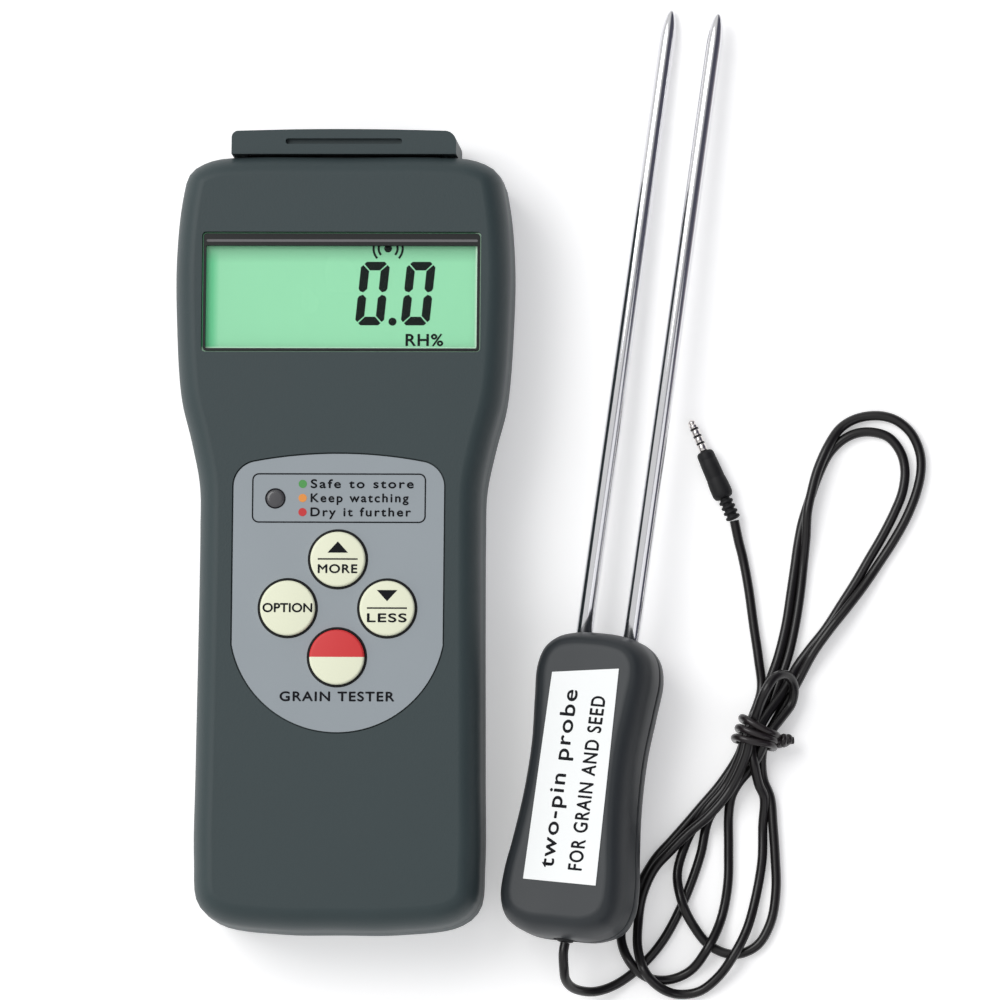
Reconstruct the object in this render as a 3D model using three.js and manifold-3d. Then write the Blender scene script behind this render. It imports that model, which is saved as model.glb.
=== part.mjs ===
// Grain moisture meter with its separate two-pin probe, lying on a table.
// Millimetres, +Z up. The origin is the centre of the meter's back, +Y points to its display end.
import * as THREE from 'three';
import Module from 'manifold-3d';

const wasm = await Module();
wasm.setup();

const GAP = 0.3; // between pieces that touch

// Casing
const CASE_SIDE = [
  [0, 77], [20, 77], [27.4, 76.2], [31.8, 73.6], [33.4, 68], [34.5, 56], [34.4, 44], [33.2, 27], [31, 18],
  [29.2, 9], [29, 0], [29.1, -20], [29.4, -50], [29.5, -68], [28.6, -77], [24.5, -80.6], [12, -82.4],
  [0, -82.5],
];
const CASE_POINTS = 60;
const CASE_HEIGHT = 26;
const PARTING = 14;
const WALL = 2;
const PARTING_GAP = 0.2;

// Display
const DISPLAY_Y = 47.4;
const DISPLAY_WIDTH = 55.8;
const DISPLAY_HEIGHT = 21.2;
const RECESS_TOP_BAR = 2.5; // dark bar of the frame above the display
const FRAME_BAR = 0.5;
const GLASS_BASE = 22.9;

// Keypad
const PANEL_HALF_WIDTH = 21.6;
const PANEL_SHOULDER_Y = 9.5;
const PANEL_TOP_RADIUS = 93;
const PANEL_TOP_Y = 14.95;
const PANEL_BOTTOM_RADIUS = 22;
const PANEL_BOTTOM_Y = -42.2;
const PANEL_THICKNESS = 0.55;
const POCKET_DEPTH = 0.7;
const KEY_CENTRE_Y = -16.8;
const KEY_SPREAD_X = 10.2;
const KEY_SPREAD_Y = 10.05;
const KEY_RADIUS = 5.65;
const KEY_HOLE_RADIUS = 6.45;
const KEY_PROUD = 1;
const STEM_RADIUS = 2;
const LAMP = [-13, 5.75];
const LAMP_RADIUS = 1.9;

// Inside
const BOARD_BASE = 18;
const BOARD_THICKNESS = 1.6;
const BOARD_TOP = BOARD_BASE + BOARD_THICKNESS;
const CELL_RADIUS = 5.25;
const CELL_LENGTH = 44.5;
const CELL_PITCH = 10.65;
const CELL_Y = -50;
const CELL_Z = WALL + GAP + 0.1 + CELL_RADIUS;
const DOOR_HALF_WIDTH = 21;
const DOOR_TOP_Y = -22;
const DOOR_RECESS = 0.25;
const SOCKET_RADIUS = 1;

// Probe
const PROBE_TOP = [54.4, -21, 9.65]; // where the pins enter the handle
const PROBE_TURN = 7.25; // degrees clockwise, seen from above
const PROBE_DROP = 3; // the pins' points lie lower than the handle
const PROBE_ROLL = 16; // the handle leans on its left back edge
const HANDLE_SIDE = [
  [0, 0.2], [5, -0.1], [8.8, -1.3], [11.4, -3.8], [12.6, -8], [12.2, -15], [11.5, -24], [11.7, -34],
  [12.7, -44], [13.6, -51], [13.5, -56.5], [11.6, -60.6], [7, -62.9], [0, -63.2],
];
const HANDLE_FRONT = 9.5;
const HANDLE_BACK = -8.3;
const HANDLE_POINTS = 44;
const HANDLE_SCREWS = [-36, -53];
const PIN_RADIUS = 1.7;
const PIN_SPREAD = 5.15;
const PIN_LENGTH = 132;
const PIN_POINT = 7;
const PIN_ROOT = 13;
const LABEL_CORNERS = [[-7.4, -9.6], [6.9, -7.7], [8.4, -52.6], [-7.4, -52.6]];
const LABEL_THICKNESS = 0.15;

// Lead
const LEAD_DIAMETER = 2;
const LEAD_STEPS = 100;
const LEAD_ROUTE = [
  // out of the gland
  [46.4, -84.2, 13], [46.1, -86.2, 13.1],
  // round the handle and up to the tie
  [46.2, -89.4, 12.4], [46.4, -91.4, 10.7], [47.4, -92.8, 8.3], [49.3, -93.5, 5.8], [52.2, -93.5, 3.5],
  [55.8, -92.2, 1.9], [59.5, -89.7, 1.2], [63.2, -86.2, 1.2], [66.1, -82.4, 1.2], [68.9, -77.2, 1.2],
  [71.5, -71, 1.2], [73.5, -64.8, 1.2], [75.1, -57.6, 1.2], [79.2, -51.9, 1.2], [82.8, -47.4, 1.4],
  // through the tie
  [83.9, -43.5, 2.7], [84.9, -40.7, 2.8], [86, -37.9, 2.7],
  // outer upper loop
  [87.5, -34.3, 1.6], [89.2, -29.7, 1.2], [91.2, -23.9, 1.2], [92.6, -17.5, 1.2], [93.6, -10.7, 1.2],
  [94.2, -4.7, 1.4], [94.7, 0.4, 2.2], [95, 5.5, 3], [95.8, 9.6, 3.1], [97, 14.2, 3.1],
  [99.2, 19.4, 2.6], [101.7, 23.2, 1.6], [105, 25.2, 1.2], [109.5, 25.8, 1.2], [113.2, 24.8, 1.2],
  [116.2, 22.2, 1.2], [118, 18.3, 1.2], [118.3, 14.6, 1.2], [117.4, 10, 1.2], [115.4, 4.8, 1.2],
  [112.8, 0, 1.2], [109.8, -4.7, 1.2], [106.6, -9.6, 1.8], [103, -14.5, 2.6], [99.6, -18.9, 3.1],
  [96.3, -23.6, 2.8], [93.1, -29.5, 1.7],
  // back through the tie
  [88.8, -37.3, 2.3], [87.4, -40, 2.8], [86.2, -43.3, 2.7],
  // short lower loop
  [85.9, -46.4, 1.9], [86.3, -49.7, 1.2], [87.7, -53.3, 1.2], [88.3, -59.1, 1.2], [88.8, -65.7, 1.2],
  [89, -72.3, 1.2], [87.9, -79.1, 1.2], [85, -83.9, 1.2], [80.3, -85.6, 1.2], [75.5, -83.8, 1.2],
  [72, -79.6, 1.9], [69.8, -75, 3.2], [68.7, -69.2, 1.6], [70, -63.8, 1.2], [72, -59.4, 1.2],
  [74.3, -56.2, 2.4], [78.4, -51.3, 3],
  // through the tie, on top
  [81.8, -44.4, 4.4], [82.6, -40.9, 4.9], [84.1, -37.2, 4.7],
  // inner upper loop
  [85.7, -35, 3.7], [87.3, -29.9, 2.5], [89.2, -24, 1.5], [90.7, -17.5, 1.2], [91.7, -10.7, 1.2],
  [92.4, -5.7, 1.2], [93, -1.2, 1.2], [93.9, 3.6, 1.2], [95.5, 8.8, 1.2], [97.3, 13.9, 1.2],
  [99.3, 17.9, 1.2], [101.9, 20.6, 1.2], [104.8, 22.1, 1.2], [108.1, 22.4, 1.2], [111.6, 21.3, 1.2],
  [114.1, 18.2, 1.2], [115, 14.5, 1.2], [114.5, 10, 1.2], [112.8, 5.6, 1.2], [110.3, 0.6, 1.2],
  [107.7, -3.9, 1.2], [105.1, -8.5, 1.2], [102.1, -13.3, 1.2], [98.8, -18.5, 1.2], [95.6, -22.6, 1.2],
  [92.9, -26.4, 1.3], [90.6, -31.1, 2.6],
  // back through the tie
  [86.9, -36.6, 4.2], [85.3, -39.8, 4.9], [84, -43.6, 5.2],
  // long lower loop, over the others
  [84.6, -47, 5.2], [85.4, -50.7, 4], [86.5, -53.4, 2.4], [86.2, -59.1, 1.2], [86.1, -66.1, 1.2],
  [84.9, -73.6, 1.2], [83.2, -80.3, 2.4], [80.8, -85.4, 3.2], [77.3, -90.3, 2.2], [73.2, -93.3, 1.2],
  [68.6, -93.8, 1.4], [65.1, -92.4, 3.6], [62.4, -89.5, 4.8], [60.8, -84.7, 3], [60.7, -79.2, 1.2],
  [61.5, -73.8, 1.6], [63.9, -68.3, 2.4], [67.2, -64.6, 3], [70.9, -60.9, 3.5], [75.3, -57.2, 4.4],
  [79.4, -52.2, 4.8],
  // through the tie, on top
  [82.8, -45.2, 6.3], [83.7, -41.3, 7], [84.9, -37, 7.9],
  // turn back, lying on the bundle
  [87, -32, 10.7], [88.9, -29.2, 9.8], [91.2, -28.5, 7.1], [92.5, -30.5, 4.5], [92.1, -33.8, 3.3],
  // back through the tie
  [90, -37, 3.9], [88, -39.7, 4.6], [86.6, -42.2, 4.8], [85.3, -44.9, 4.1],
  // last lower loop, under the edge of the handle
  [83.7, -47.5, 3.1], [81.5, -50.1, 3.1], [79.9, -52.9, 2.8], [79.2, -56.5, 1.6], [79.2, -63.7, 1.2],
  [79.1, -71, 1.2], [77.8, -78.2, 1.2], [75.3, -84.2, 3.1], [71.5, -89, 1.2], [67, -90.9, 1.2],
  [62.7, -90.5, 2.8], [59.2, -87.4, 2.9], [57.2, -82.1, 1.4], [58.4, -76.7, 1.2], [61, -71.3, 1.2],
  [64.2, -65.9, 1.2], [67.3, -62.4, 1.2], [70.2, -59.1, 1.2], [73.4, -55.3, 1.2], [77.5, -50.4, 1.2],
  // through the tie
  [81.2, -44.7, 2.2], [82.6, -40.9, 2.8], [83.9, -37.1, 2.6],
  // up to the plug
  [85.7, -31, 1.2], [85.1, -24.8, 1.2], [84, -17.6, 1.2], [82.9, -10, 1.2], [81.7, -3.8, 1.2],
  [80.8, -0.3, 1.5],
  [79.9, 3.9, 2.1],
];
const TIE = { middle: [84.9, -40.7], turn: 20, length: 4, halfWidth: 4, low: 1.4, high: 9.1, wall: 1.2 };

// Plug: distances run from the end of its relief towards its tip
const PLUG_END = [79.9, 3.9, 2.15];
const PLUG_TURN = 23.9;
const PLUG_BODY = [5.1, 15.6];
const PLUG_CONTACT_RADIUS = 0.9;
const PLUG_CORE_RADIUS = 0.4;
const PLUG_BANDS = [17.3, 18.9, 20.5]; // black insulating bands between the contacts
const PLUG_BAND_LENGTH = 0.3;
const PLUG_LENGTH = 22.8;

const MATERIALS = {
  casing: { color: 0x40494b, roughness: 0.55 },
  grip: { color: 0x3c4244, roughness: 0.5 },
  panel: { color: 0x989ea3, roughness: 0.5 },
  keys: { color: 0xeaefd0, roughness: 0.4 },
  power_key: { color: 0xd33d3e, roughness: 0.4 },
  rubber: { color: 0x151617, roughness: 0.7 },
  window: { color: 0xe8f4ee, roughness: 0.05, transparent: true, opacity: 0.35 },
  display: { color: 0x9ce0b7, roughness: 0.2 },
  frame: { color: 0x1c2122, roughness: 0.5 },
  lens: { color: 0x4e4e50, roughness: 0.15 },
  board: { color: 0x2c6b45, roughness: 0.6 },
  chip: { color: 0x1b1b1d, roughness: 0.5 },
  cell: { color: 0x8a7a3c, roughness: 0.4 },
  contact: { color: 0xc2b080, roughness: 0.3, metalness: 1 },
  screw: { color: 0x9a9a9c, roughness: 0.35, metalness: 1 },
  pin: { color: 0xc8c8cc, roughness: 0.15, metalness: 1 },
  label: { color: 0xf0f2f0, roughness: 0.6 },
  lead: { color: 0x141113, roughness: 0.35 },
  plug_metal: { color: 0xd0cac4, roughness: 0.15, metalness: 1 },
};

/** A mesh in one of the part's materials. */
function piece(name, geometry, finish) {
  const mesh = new THREE.Mesh(geometry, new THREE.MeshStandardMaterial(MATERIALS[finish]));
  mesh.name = name;
  return mesh;
}

/** Manifold solid of a closed geometry. */
function solid(geometry) {
  const bare = geometry.index ? geometry.toNonIndexed() : geometry.clone();
  const corners = Float32Array.from(bare.attributes.position.array);
  const triangles = Uint32Array.from({ length: corners.length / 3 }, (_, corner) => corner);
  const mesh = new wasm.Mesh({ numProp: 3, vertProperties: corners, triVerts: triangles });
  mesh.merge();
  return new wasm.Manifold(mesh);
}

/** Geometry of a manifold solid. */
function shaped(body) {
  const mesh = body.getMesh();
  const geometry = new THREE.BufferGeometry();
  geometry.setAttribute('position', new THREE.BufferAttribute(Float32Array.from(mesh.vertProperties), 3));
  geometry.setIndex(new THREE.BufferAttribute(Uint32Array.from(mesh.triVerts), 1));
  return geometry;
}

/** Base with the tools cut away. */
function cut(base, ...tools) {
  return tools.reduce((body, tool) => body.subtract(solid(tool)), solid(base));
}

/** A box between two corners. */
function box(low, high) {
  const size = high.map((value, axis) => value - low[axis]);
  const middle = high.map((value, axis) => (value + low[axis]) / 2);
  return new THREE.BoxGeometry(...size).translate(...middle);
}

/** An upright cylinder. */
function post(x, y, low, high, radius, sides = 16) {
  const geometry = new THREE.CylinderGeometry(radius, radius, high - low, sides).rotateX(Math.PI / 2);
  return geometry.translate(x, y, (low + high) / 2);
}

/** A cylinder along Y. */
function rod(x, low, high, z, radius, sides = 16) {
  return new THREE.CylinderGeometry(radius, radius, high - low, sides).translate(x, (low + high) / 2, z);
}

/** A solid of revolution about +Z through (x, y); profile is [radius, height] from axis to axis. */
function turned(x, y, profile, sides = 18) {
  const points = profile.map(([radius, height]) => new THREE.Vector2(radius, height));
  return new THREE.LatheGeometry(points, sides).rotateX(Math.PI / 2).translate(x, y, 0);
}

/** Points round a smooth closed outline with a left and right side alike, moved inwards by inset. */
function outline(side, inset, count) {
  const mirrored = side.slice(1, -1).map(([x, y]) => [-x, y]).reverse();
  const corners = [...side, ...mirrored].map(([x, y]) => new THREE.Vector3(x, y, 0));
  const curve = new THREE.CatmullRomCurve3(corners, true, 'centripetal');
  return Array.from({ length: count }, (_, step) => {
    const spot = curve.getPointAt(step / count);
    const along = curve.getTangentAt(step / count);
    return [spot.x + along.y * inset, spot.y - along.x * inset];
  });
}

/** A closed solid whose sections are one outline at several insets and heights. */
function loft(side, count, levels) {
  const rings = levels.map(([inset, height]) => outline(side, inset, count).map(([x, y]) => [x, y, height]));
  const middle = (side[0][1] + side[side.length - 1][1]) / 2;
  const corners = [];
  const face = (...points) => points.forEach((point) => corners.push(...point));
  rings.slice(1).forEach((upper, index) => {
    const lower = rings[index];
    for (let i = 0; i < count; i += 1) {
      const j = (i + 1) % count;
      face(lower[i], upper[i], upper[j]);
      face(lower[i], upper[j], lower[j]);
    }
  });
  const last = rings.length - 1;
  for (let i = 0; i < count; i += 1) {
    const j = (i + 1) % count;
    face([0, middle, levels[0][1]], rings[0][i], rings[0][j]);
    face([0, middle, levels[last][1]], rings[last][j], rings[last][i]);
  }
  const geometry = new THREE.BufferGeometry();
  geometry.setAttribute('position', new THREE.BufferAttribute(new Float32Array(corners), 3));
  return geometry;
}

/** Where the four keys are: up, left, right, down. */
const KEYS = [
  ['hold', 0, KEY_CENTRE_Y + KEY_SPREAD_Y],
  ['select', -KEY_SPREAD_X, KEY_CENTRE_Y],
  ['zero', KEY_SPREAD_X, KEY_CENTRE_Y],
  ['power', 0, KEY_CENTRE_Y - KEY_SPREAD_Y],
];
const CASE_SCREWS = [[-25, -72], [25, -72], [-28, 65.5], [28, 65.5]];
const BOARD_SCREWS = [[-21, 22], [21, 22]];

/** Flat shape of the keypad's face sheet, grown by margin. */
function panelShape(margin) {
  const half = PANEL_HALF_WIDTH + margin;
  const topRadius = PANEL_TOP_RADIUS + margin;
  const topMiddle = PANEL_TOP_Y - PANEL_TOP_RADIUS;
  const corner = 4.5;
  const lean = Math.asin((half - corner) / topRadius);
  const bottomRadius = PANEL_BOTTOM_RADIUS + margin;
  const bottomMiddle = PANEL_BOTTOM_Y + PANEL_BOTTOM_RADIUS;
  const sweep = Math.acos(half / bottomRadius);
  const shape = new THREE.Shape();
  shape.moveTo(half, bottomMiddle - bottomRadius * Math.sin(sweep));
  shape.lineTo(half, PANEL_SHOULDER_Y - corner);
  const topEnd = [topRadius * Math.sin(lean), topMiddle + topRadius * Math.cos(lean)];
  shape.quadraticCurveTo(half, PANEL_SHOULDER_Y, ...topEnd);
  shape.absarc(0, topMiddle, topRadius, Math.PI / 2 - lean, Math.PI / 2 + lean, false);
  shape.quadraticCurveTo(-half, PANEL_SHOULDER_Y, -half, PANEL_SHOULDER_Y - corner);
  shape.lineTo(-half, bottomMiddle - bottomRadius * Math.sin(sweep));
  shape.absarc(0, bottomMiddle, bottomRadius, Math.PI + sweep, 2 * Math.PI - sweep, false);
  return shape;
}

/** The flat shape as a plate from low to high. */
function plate(shape, low, high) {
  const settings = { depth: high - low, bevelEnabled: false, curveSegments: 10 };
  return new THREE.ExtrudeGeometry(shape, settings).translate(0, 0, low);
}

const rearOutside = () => loft(CASE_SIDE, CASE_POINTS, [
  [5, 0], [2.2, 1], [0.7, 3.2], [0.15, 7], [0, PARTING - PARTING_GAP / 2],
]);
const frontOutside = () => loft(CASE_SIDE, CASE_POINTS, [
  [0, PARTING + PARTING_GAP / 2], [0.15, 19.5], [0.8, 23.2], [2.3, 25.3], [4.4, CASE_HEIGHT],
]);
const socketCutout = () => box([-5.3, 73, 9.2], [5.3, 79, 18.8]);

/** Back half of the casing, with screw posts and the battery door's opening, open to the bottom end. */
function rearShell() {
  const hollow = loft(CASE_SIDE, CASE_POINTS, [[7, WALL], [3.2, 4.2], [WALL, 8], [WALL, PARTING + 1]]);
  const bay = box([-DOOR_HALF_WIDTH - GAP, -84, -1], [DOOR_HALF_WIDTH + GAP, DOOR_TOP_Y + GAP, WALL + 0.1]);
  let body = cut(rearOutside(), hollow, bay, socketCutout());
  CASE_SCREWS.forEach(([x, y]) => {
    body = body.add(solid(post(x, y, 1, PARTING - PARTING_GAP / 2, 2.9)).intersect(solid(rearOutside())));
    body = body.subtract(solid(post(x, y, -1, 3.2, 2.5)));
    body = body.subtract(solid(post(x, y, -1, PARTING + 1, 1.5, 12)));
  });
  return piece('rear_shell', shaped(body), 'casing');
}

/** Front half of the casing, with the display opening, the keypad pocket and its holes. */
function frontShell() {
  const ceiling = CASE_HEIGHT - WALL;
  const hollow = loft(CASE_SIDE, CASE_POINTS, [[WALL, PARTING - 1], [WALL, 19], [2.8, 22.4], [4.3, ceiling]]);
  const halfWidth = DISPLAY_WIDTH / 2 + FRAME_BAR + GAP;
  const low = DISPLAY_Y - DISPLAY_HEIGHT / 2 - FRAME_BAR - GAP;
  const high = DISPLAY_Y + DISPLAY_HEIGHT / 2 + RECESS_TOP_BAR + GAP;
  const opening = box([-halfWidth, low, 20], [halfWidth, high, 30]);
  const pocket = plate(panelShape(GAP), CASE_HEIGHT - POCKET_DEPTH, CASE_HEIGHT + 1);
  const lampHole = post(...LAMP, 20, 30, LAMP_RADIUS + GAP);
  const keyHoles = KEYS.map(([, x, y]) => post(x, y, 20, 30, KEY_HOLE_RADIUS, 24));
  let body = cut(frontOutside(), hollow, opening, pocket, lampHole, socketCutout(), ...keyHoles);
  const outside = solid(frontOutside());
  CASE_SCREWS.forEach(([x, y]) => {
    body = body.add(solid(post(x, y, PARTING + PARTING_GAP / 2, ceiling + 0.5, 2.9)).intersect(outside));
    body = body.subtract(solid(post(x, y, PARTING - 1, 22, 1.5, 12)));
  });
  BOARD_SCREWS.forEach(([x, y]) => {
    body = body.add(solid(post(x, y, BOARD_TOP + GAP, ceiling + 0.5, 2.4)));
    body = body.subtract(solid(post(x, y, BOARD_TOP - 1, ceiling - 0.6, 1.2, 12)));
  });
  return piece('front_shell', shaped(body), 'casing');
}

/** Battery door: the piece of the back that slides off towards the bottom end. */
function batteryDoor() {
  const window = box([-DOOR_HALF_WIDTH, -84, DOOR_RECESS], [DOOR_HALF_WIDTH, DOOR_TOP_Y, WALL - 0.2]);
  return piece('battery_door', shaped(solid(rearOutside()).intersect(solid(window))), 'casing');
}

/** Cap over the socket at the top end, with its finger slot. */
function endCap() {
  const low = 77 + GAP;
  const shape = new THREE.Shape();
  const half = 23.15;
  shape.moveTo(-half, low);
  shape.lineTo(half, low);
  shape.lineTo(half, 79.8);
  shape.quadraticCurveTo(half - 0.3, 81.9, half - 2.6, 82.1);
  shape.quadraticCurveTo(0, 82.7, -half + 1.4, 82.1);
  shape.quadraticCurveTo(-half, 82, -half, 80.8);
  const cavity = box([-20, low - 1, 7.6], [20, 80.6, 20.4]);
  const slot = box([-12, 79.4, 21.9], [12, 80.5, 24]);
  return piece('end_cap', shaped(cut(plate(shape, 5, 23), cavity, slot)), 'casing');
}

/** Socket for the probe's plug, with the flange that the cap fits over. */
function probeSocket() {
  const flange = solid(box([-19.4, 77 + GAP, 8], [19.4, 79.9, 20]));
  const block = solid(box([-5, 66, 9.5], [5, 77.5, 18.5])).add(flange);
  const bore = solid(rod(0, 71, 81, 14, SOCKET_RADIUS, 12));
  return piece('probe_socket', shaped(block.subtract(bore)), 'rubber');
}

/** Display: frame in the opening, clear window, LCD glass, backlight and connector strip. */
function display() {
  const halfWidth = DISPLAY_WIDTH / 2;
  const low = DISPLAY_Y - DISPLAY_HEIGHT / 2;
  const high = DISPLAY_Y + DISPLAY_HEIGHT / 2;
  const outer = halfWidth + FRAME_BAR;
  const rim = box([-outer, low - FRAME_BAR, 24.1], [outer, high + RECESS_TOP_BAR, 25.5]);
  const frame = cut(rim, box([-halfWidth, low, 20], [halfWidth, high, 30]));
  const window = box([-halfWidth + GAP, low + GAP, 24.3], [halfWidth - GAP, high - GAP, 25.1]);
  const glass = box([-29.5, 35.4, GLASS_BASE], [29.5, 62.4, 24]);
  const light = box([-28, 36, 20.2], [28, 59.2, GLASS_BASE - 0.2]);
  const strip = box([-24, 60, BOARD_TOP + 0.1], [24, 62, GLASS_BASE - 0.1]);
  return [
    piece('display_frame', shaped(frame), 'frame'),
    piece('display_window', window, 'window'),
    piece('display_glass', glass, 'display'),
    piece('backlight_panel', light, 'label'),
    piece('display_connector', strip, 'rubber'),
  ];
}

/** Grey face sheet with holes for the keys and the lamp. */
function keypadPanel() {
  const base = CASE_HEIGHT - POCKET_DEPTH + 0.1;
  const holes = KEYS.map(([, x, y]) => post(x, y, 20, 30, KEY_HOLE_RADIUS, 24));
  const lampHole = post(...LAMP, 20, 30, LAMP_RADIUS + 0.2);
  const sheet = plate(panelShape(0), base, base + PANEL_THICKNESS);
  return piece('keypad_panel', shaped(cut(sheet, lampHole, ...holes)), 'panel');
}

/** Rubber mat behind the face, with a collar that shows as a black ring round each key. */
function keypadMat() {
  let mat = solid(box([-17.5, -34.5, 22.5], [17.5, 0, 23.8]));
  KEYS.forEach(([, x, y]) => {
    mat = mat.add(solid(post(x, y, 23.7, CASE_HEIGHT - 0.1, KEY_HOLE_RADIUS - 0.25, 24)));
    mat = mat.subtract(solid(post(x, y, 23.8, 30, KEY_RADIUS + 0.15, 24)));
    mat = mat.subtract(solid(post(x, y, 22, 30, STEM_RADIUS + GAP)));
  });
  return piece('keypad_mat', shaped(mat), 'rubber');
}

/** Key caps with their stems, and the click switch under each. */
function keys() {
  const top = CASE_HEIGHT + KEY_PROUD;
  const profile = [
    [0, 22.3], [STEM_RADIUS, 22.3], [STEM_RADIUS, 24.4], [KEY_RADIUS, 24.4], [KEY_RADIUS, top - 0.6],
    [KEY_RADIUS - 0.3, top - 0.2], [KEY_RADIUS - 1.2, top - 0.05], [0, top],
  ];
  return KEYS.flatMap(([name, x, y]) => [
    piece(`${name}_key`, turned(x, y, profile, 24), name === 'power' ? 'power_key' : 'keys'),
    piece(`${name}_switch`, box([x - 3, y - 3, BOARD_TOP + 0.1], [x + 3, y + 3, 21.6]), 'chip'),
  ]);
}

/** Circuit board with what stands on it, and its screws. */
function electronics() {
  const holes = BOARD_SCREWS.map(([x, y]) => post(x, y, 15, 22, 1.3, 12));
  const board = cut(box([-24, -38, BOARD_BASE], [24, 64, BOARD_TOP]), ...holes);
  const screwProfile = [[0, 16.4], [2, 16.4], [2, 17.8], [0.9, 17.8], [0.9, 23], [0, 23]];
  return [
    piece('main_board', shaped(board), 'board'),
    piece('control_chip', box([-6, 40, BOARD_BASE - 1.6], [6, 52, BOARD_BASE - 0.1]), 'chip'),
    piece('buzzer', post(12, 10, 10.5, BOARD_BASE - 0.1, 5.5, 20), 'chip'),
    piece('status_lamp', post(...LAMP, BOARD_TOP + 0.1, 22.3, 1.5, 12), 'label'),
    piece('status_lens', post(...LAMP, 22.6, CASE_HEIGHT + 0.1, LAMP_RADIUS), 'lens'),
    ...BOARD_SCREWS.map(([x, y], index) => {
      return piece(`board_screw_${index + 1}`, turned(x, y, screwProfile, 12), 'screw');
    }),
  ];
}

/** Four cells side by side between two spring strips. */
function batteries() {
  const span = CELL_PITCH * 1.5;
  const half = CELL_LENGTH / 2;
  const profile = [
    [0, -half], [CELL_RADIUS, -half], [CELL_RADIUS, half - 1], [1.9, half - 1], [1.9, half], [0, half],
  ];
  const cells = [0, 1, 2, 3].map((index) => {
    const points = profile.map(([radius, height]) => new THREE.Vector2(radius, height));
    const way = index % 2 ? Math.PI : 0;
    const cell = new THREE.LatheGeometry(points, 18).rotateZ(way);
    return piece(`battery_${index + 1}`, cell.translate(index * CELL_PITCH - span, CELL_Y, CELL_Z), 'cell');
  });
  const strip = (low) => box([-span - 4, low, CELL_Z - 4], [span + 4, low + 0.6, CELL_Z + 4]);
  return [
    ...cells,
    piece('battery_contact_upper', strip(CELL_Y + half + GAP), 'contact'),
    piece('battery_contact_lower', strip(CELL_Y - half - GAP - 0.6), 'contact'),
  ];
}

/** Screws that hold the two halves of the casing together, driven from the back. */
function caseScrews() {
  const profile = [[0, 0.9], [2.2, 0.9], [2.2, 2.9], [1.2, 2.9], [1.2, 20.5], [0, 21.5]];
  return CASE_SCREWS.map(([x, y], index) => {
    return piece(`case_screw_${index + 1}`, turned(x, y, profile, 12), 'screw');
  });
}

/** Both halves of the probe's handle. The probe's own frame has +Y along the pins and +Z out of the face. */
function handleShells() {
  const front = loft(HANDLE_SIDE, HANDLE_POINTS, [
    [0, 0.1], [0.2, 4.6], [1.2, 7.2], [2.6, 8.8], [4.4, HANDLE_FRONT],
  ]);
  const frontHollow = loft(HANDLE_SIDE, HANDLE_POINTS, [[2, -1], [2.2, 4.6], [3.6, 6.4], [5.5, 7.5]]);
  const back = loft(HANDLE_SIDE, HANDLE_POINTS, [
    [5.6, HANDLE_BACK], [2.8, -7.3], [1, -5.2], [0.2, -2.8], [0, -0.1],
  ]);
  const backHollow = loft(HANDLE_SIDE, HANDLE_POINTS, [[6.6, -6.3], [3.6, -4.8], [2.2, -2], [2, 1]]);
  const pinHoles = [-1, 1].map((side) => rod(side * PIN_SPREAD, -6, 3, 0, PIN_RADIUS + GAP));
  const glandHole = rod(0, -66, -58, 0, 2.4 + GAP, 12);
  let frontBody = cut(front, frontHollow, ...pinHoles, glandHole);
  let backBody = cut(back, backHollow, ...pinHoles, glandHole);
  HANDLE_SCREWS.forEach((y) => {
    frontBody = frontBody.add(solid(post(0, y, 0.1, 8, 2.8))).subtract(solid(post(0, y, -1, 6, 1.5, 12)));
    backBody = backBody.add(solid(post(0, y, -7, -0.1, 2.8)));
    backBody = backBody.subtract(solid(post(0, y, -11, -5.2, 2.4)));
    backBody = backBody.subtract(solid(post(0, y, -11, 1, 1.5, 12)));
  });
  return [
    piece('handle_front_shell', shaped(frontBody), 'grip'),
    piece('handle_rear_shell', shaped(backBody), 'grip'),
  ];
}

/** Paper label on the handle's face. */
function probeLabel() {
  const shape = new THREE.Shape(LABEL_CORNERS.map(([x, y]) => new THREE.Vector2(x, y)));
  const low = HANDLE_FRONT + 0.05;
  return piece('probe_label', plate(shape, low, low + LABEL_THICKNESS), 'label');
}

/** A steel pin with its point, on one side of the handle's middle. */
function pin(name, side) {
  const profile = [
    [0, -PIN_ROOT], [PIN_RADIUS, -PIN_ROOT], [PIN_RADIUS, PIN_LENGTH - PIN_POINT], [1.1, PIN_LENGTH - 2.6],
    [0.25, PIN_LENGTH], [0, PIN_LENGTH],
  ];
  const points = profile.map(([radius, height]) => new THREE.Vector2(radius, height));
  return piece(name, new THREE.LatheGeometry(points, 16).translate(side * PIN_SPREAD, 0, 0), 'pin');
}

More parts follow.
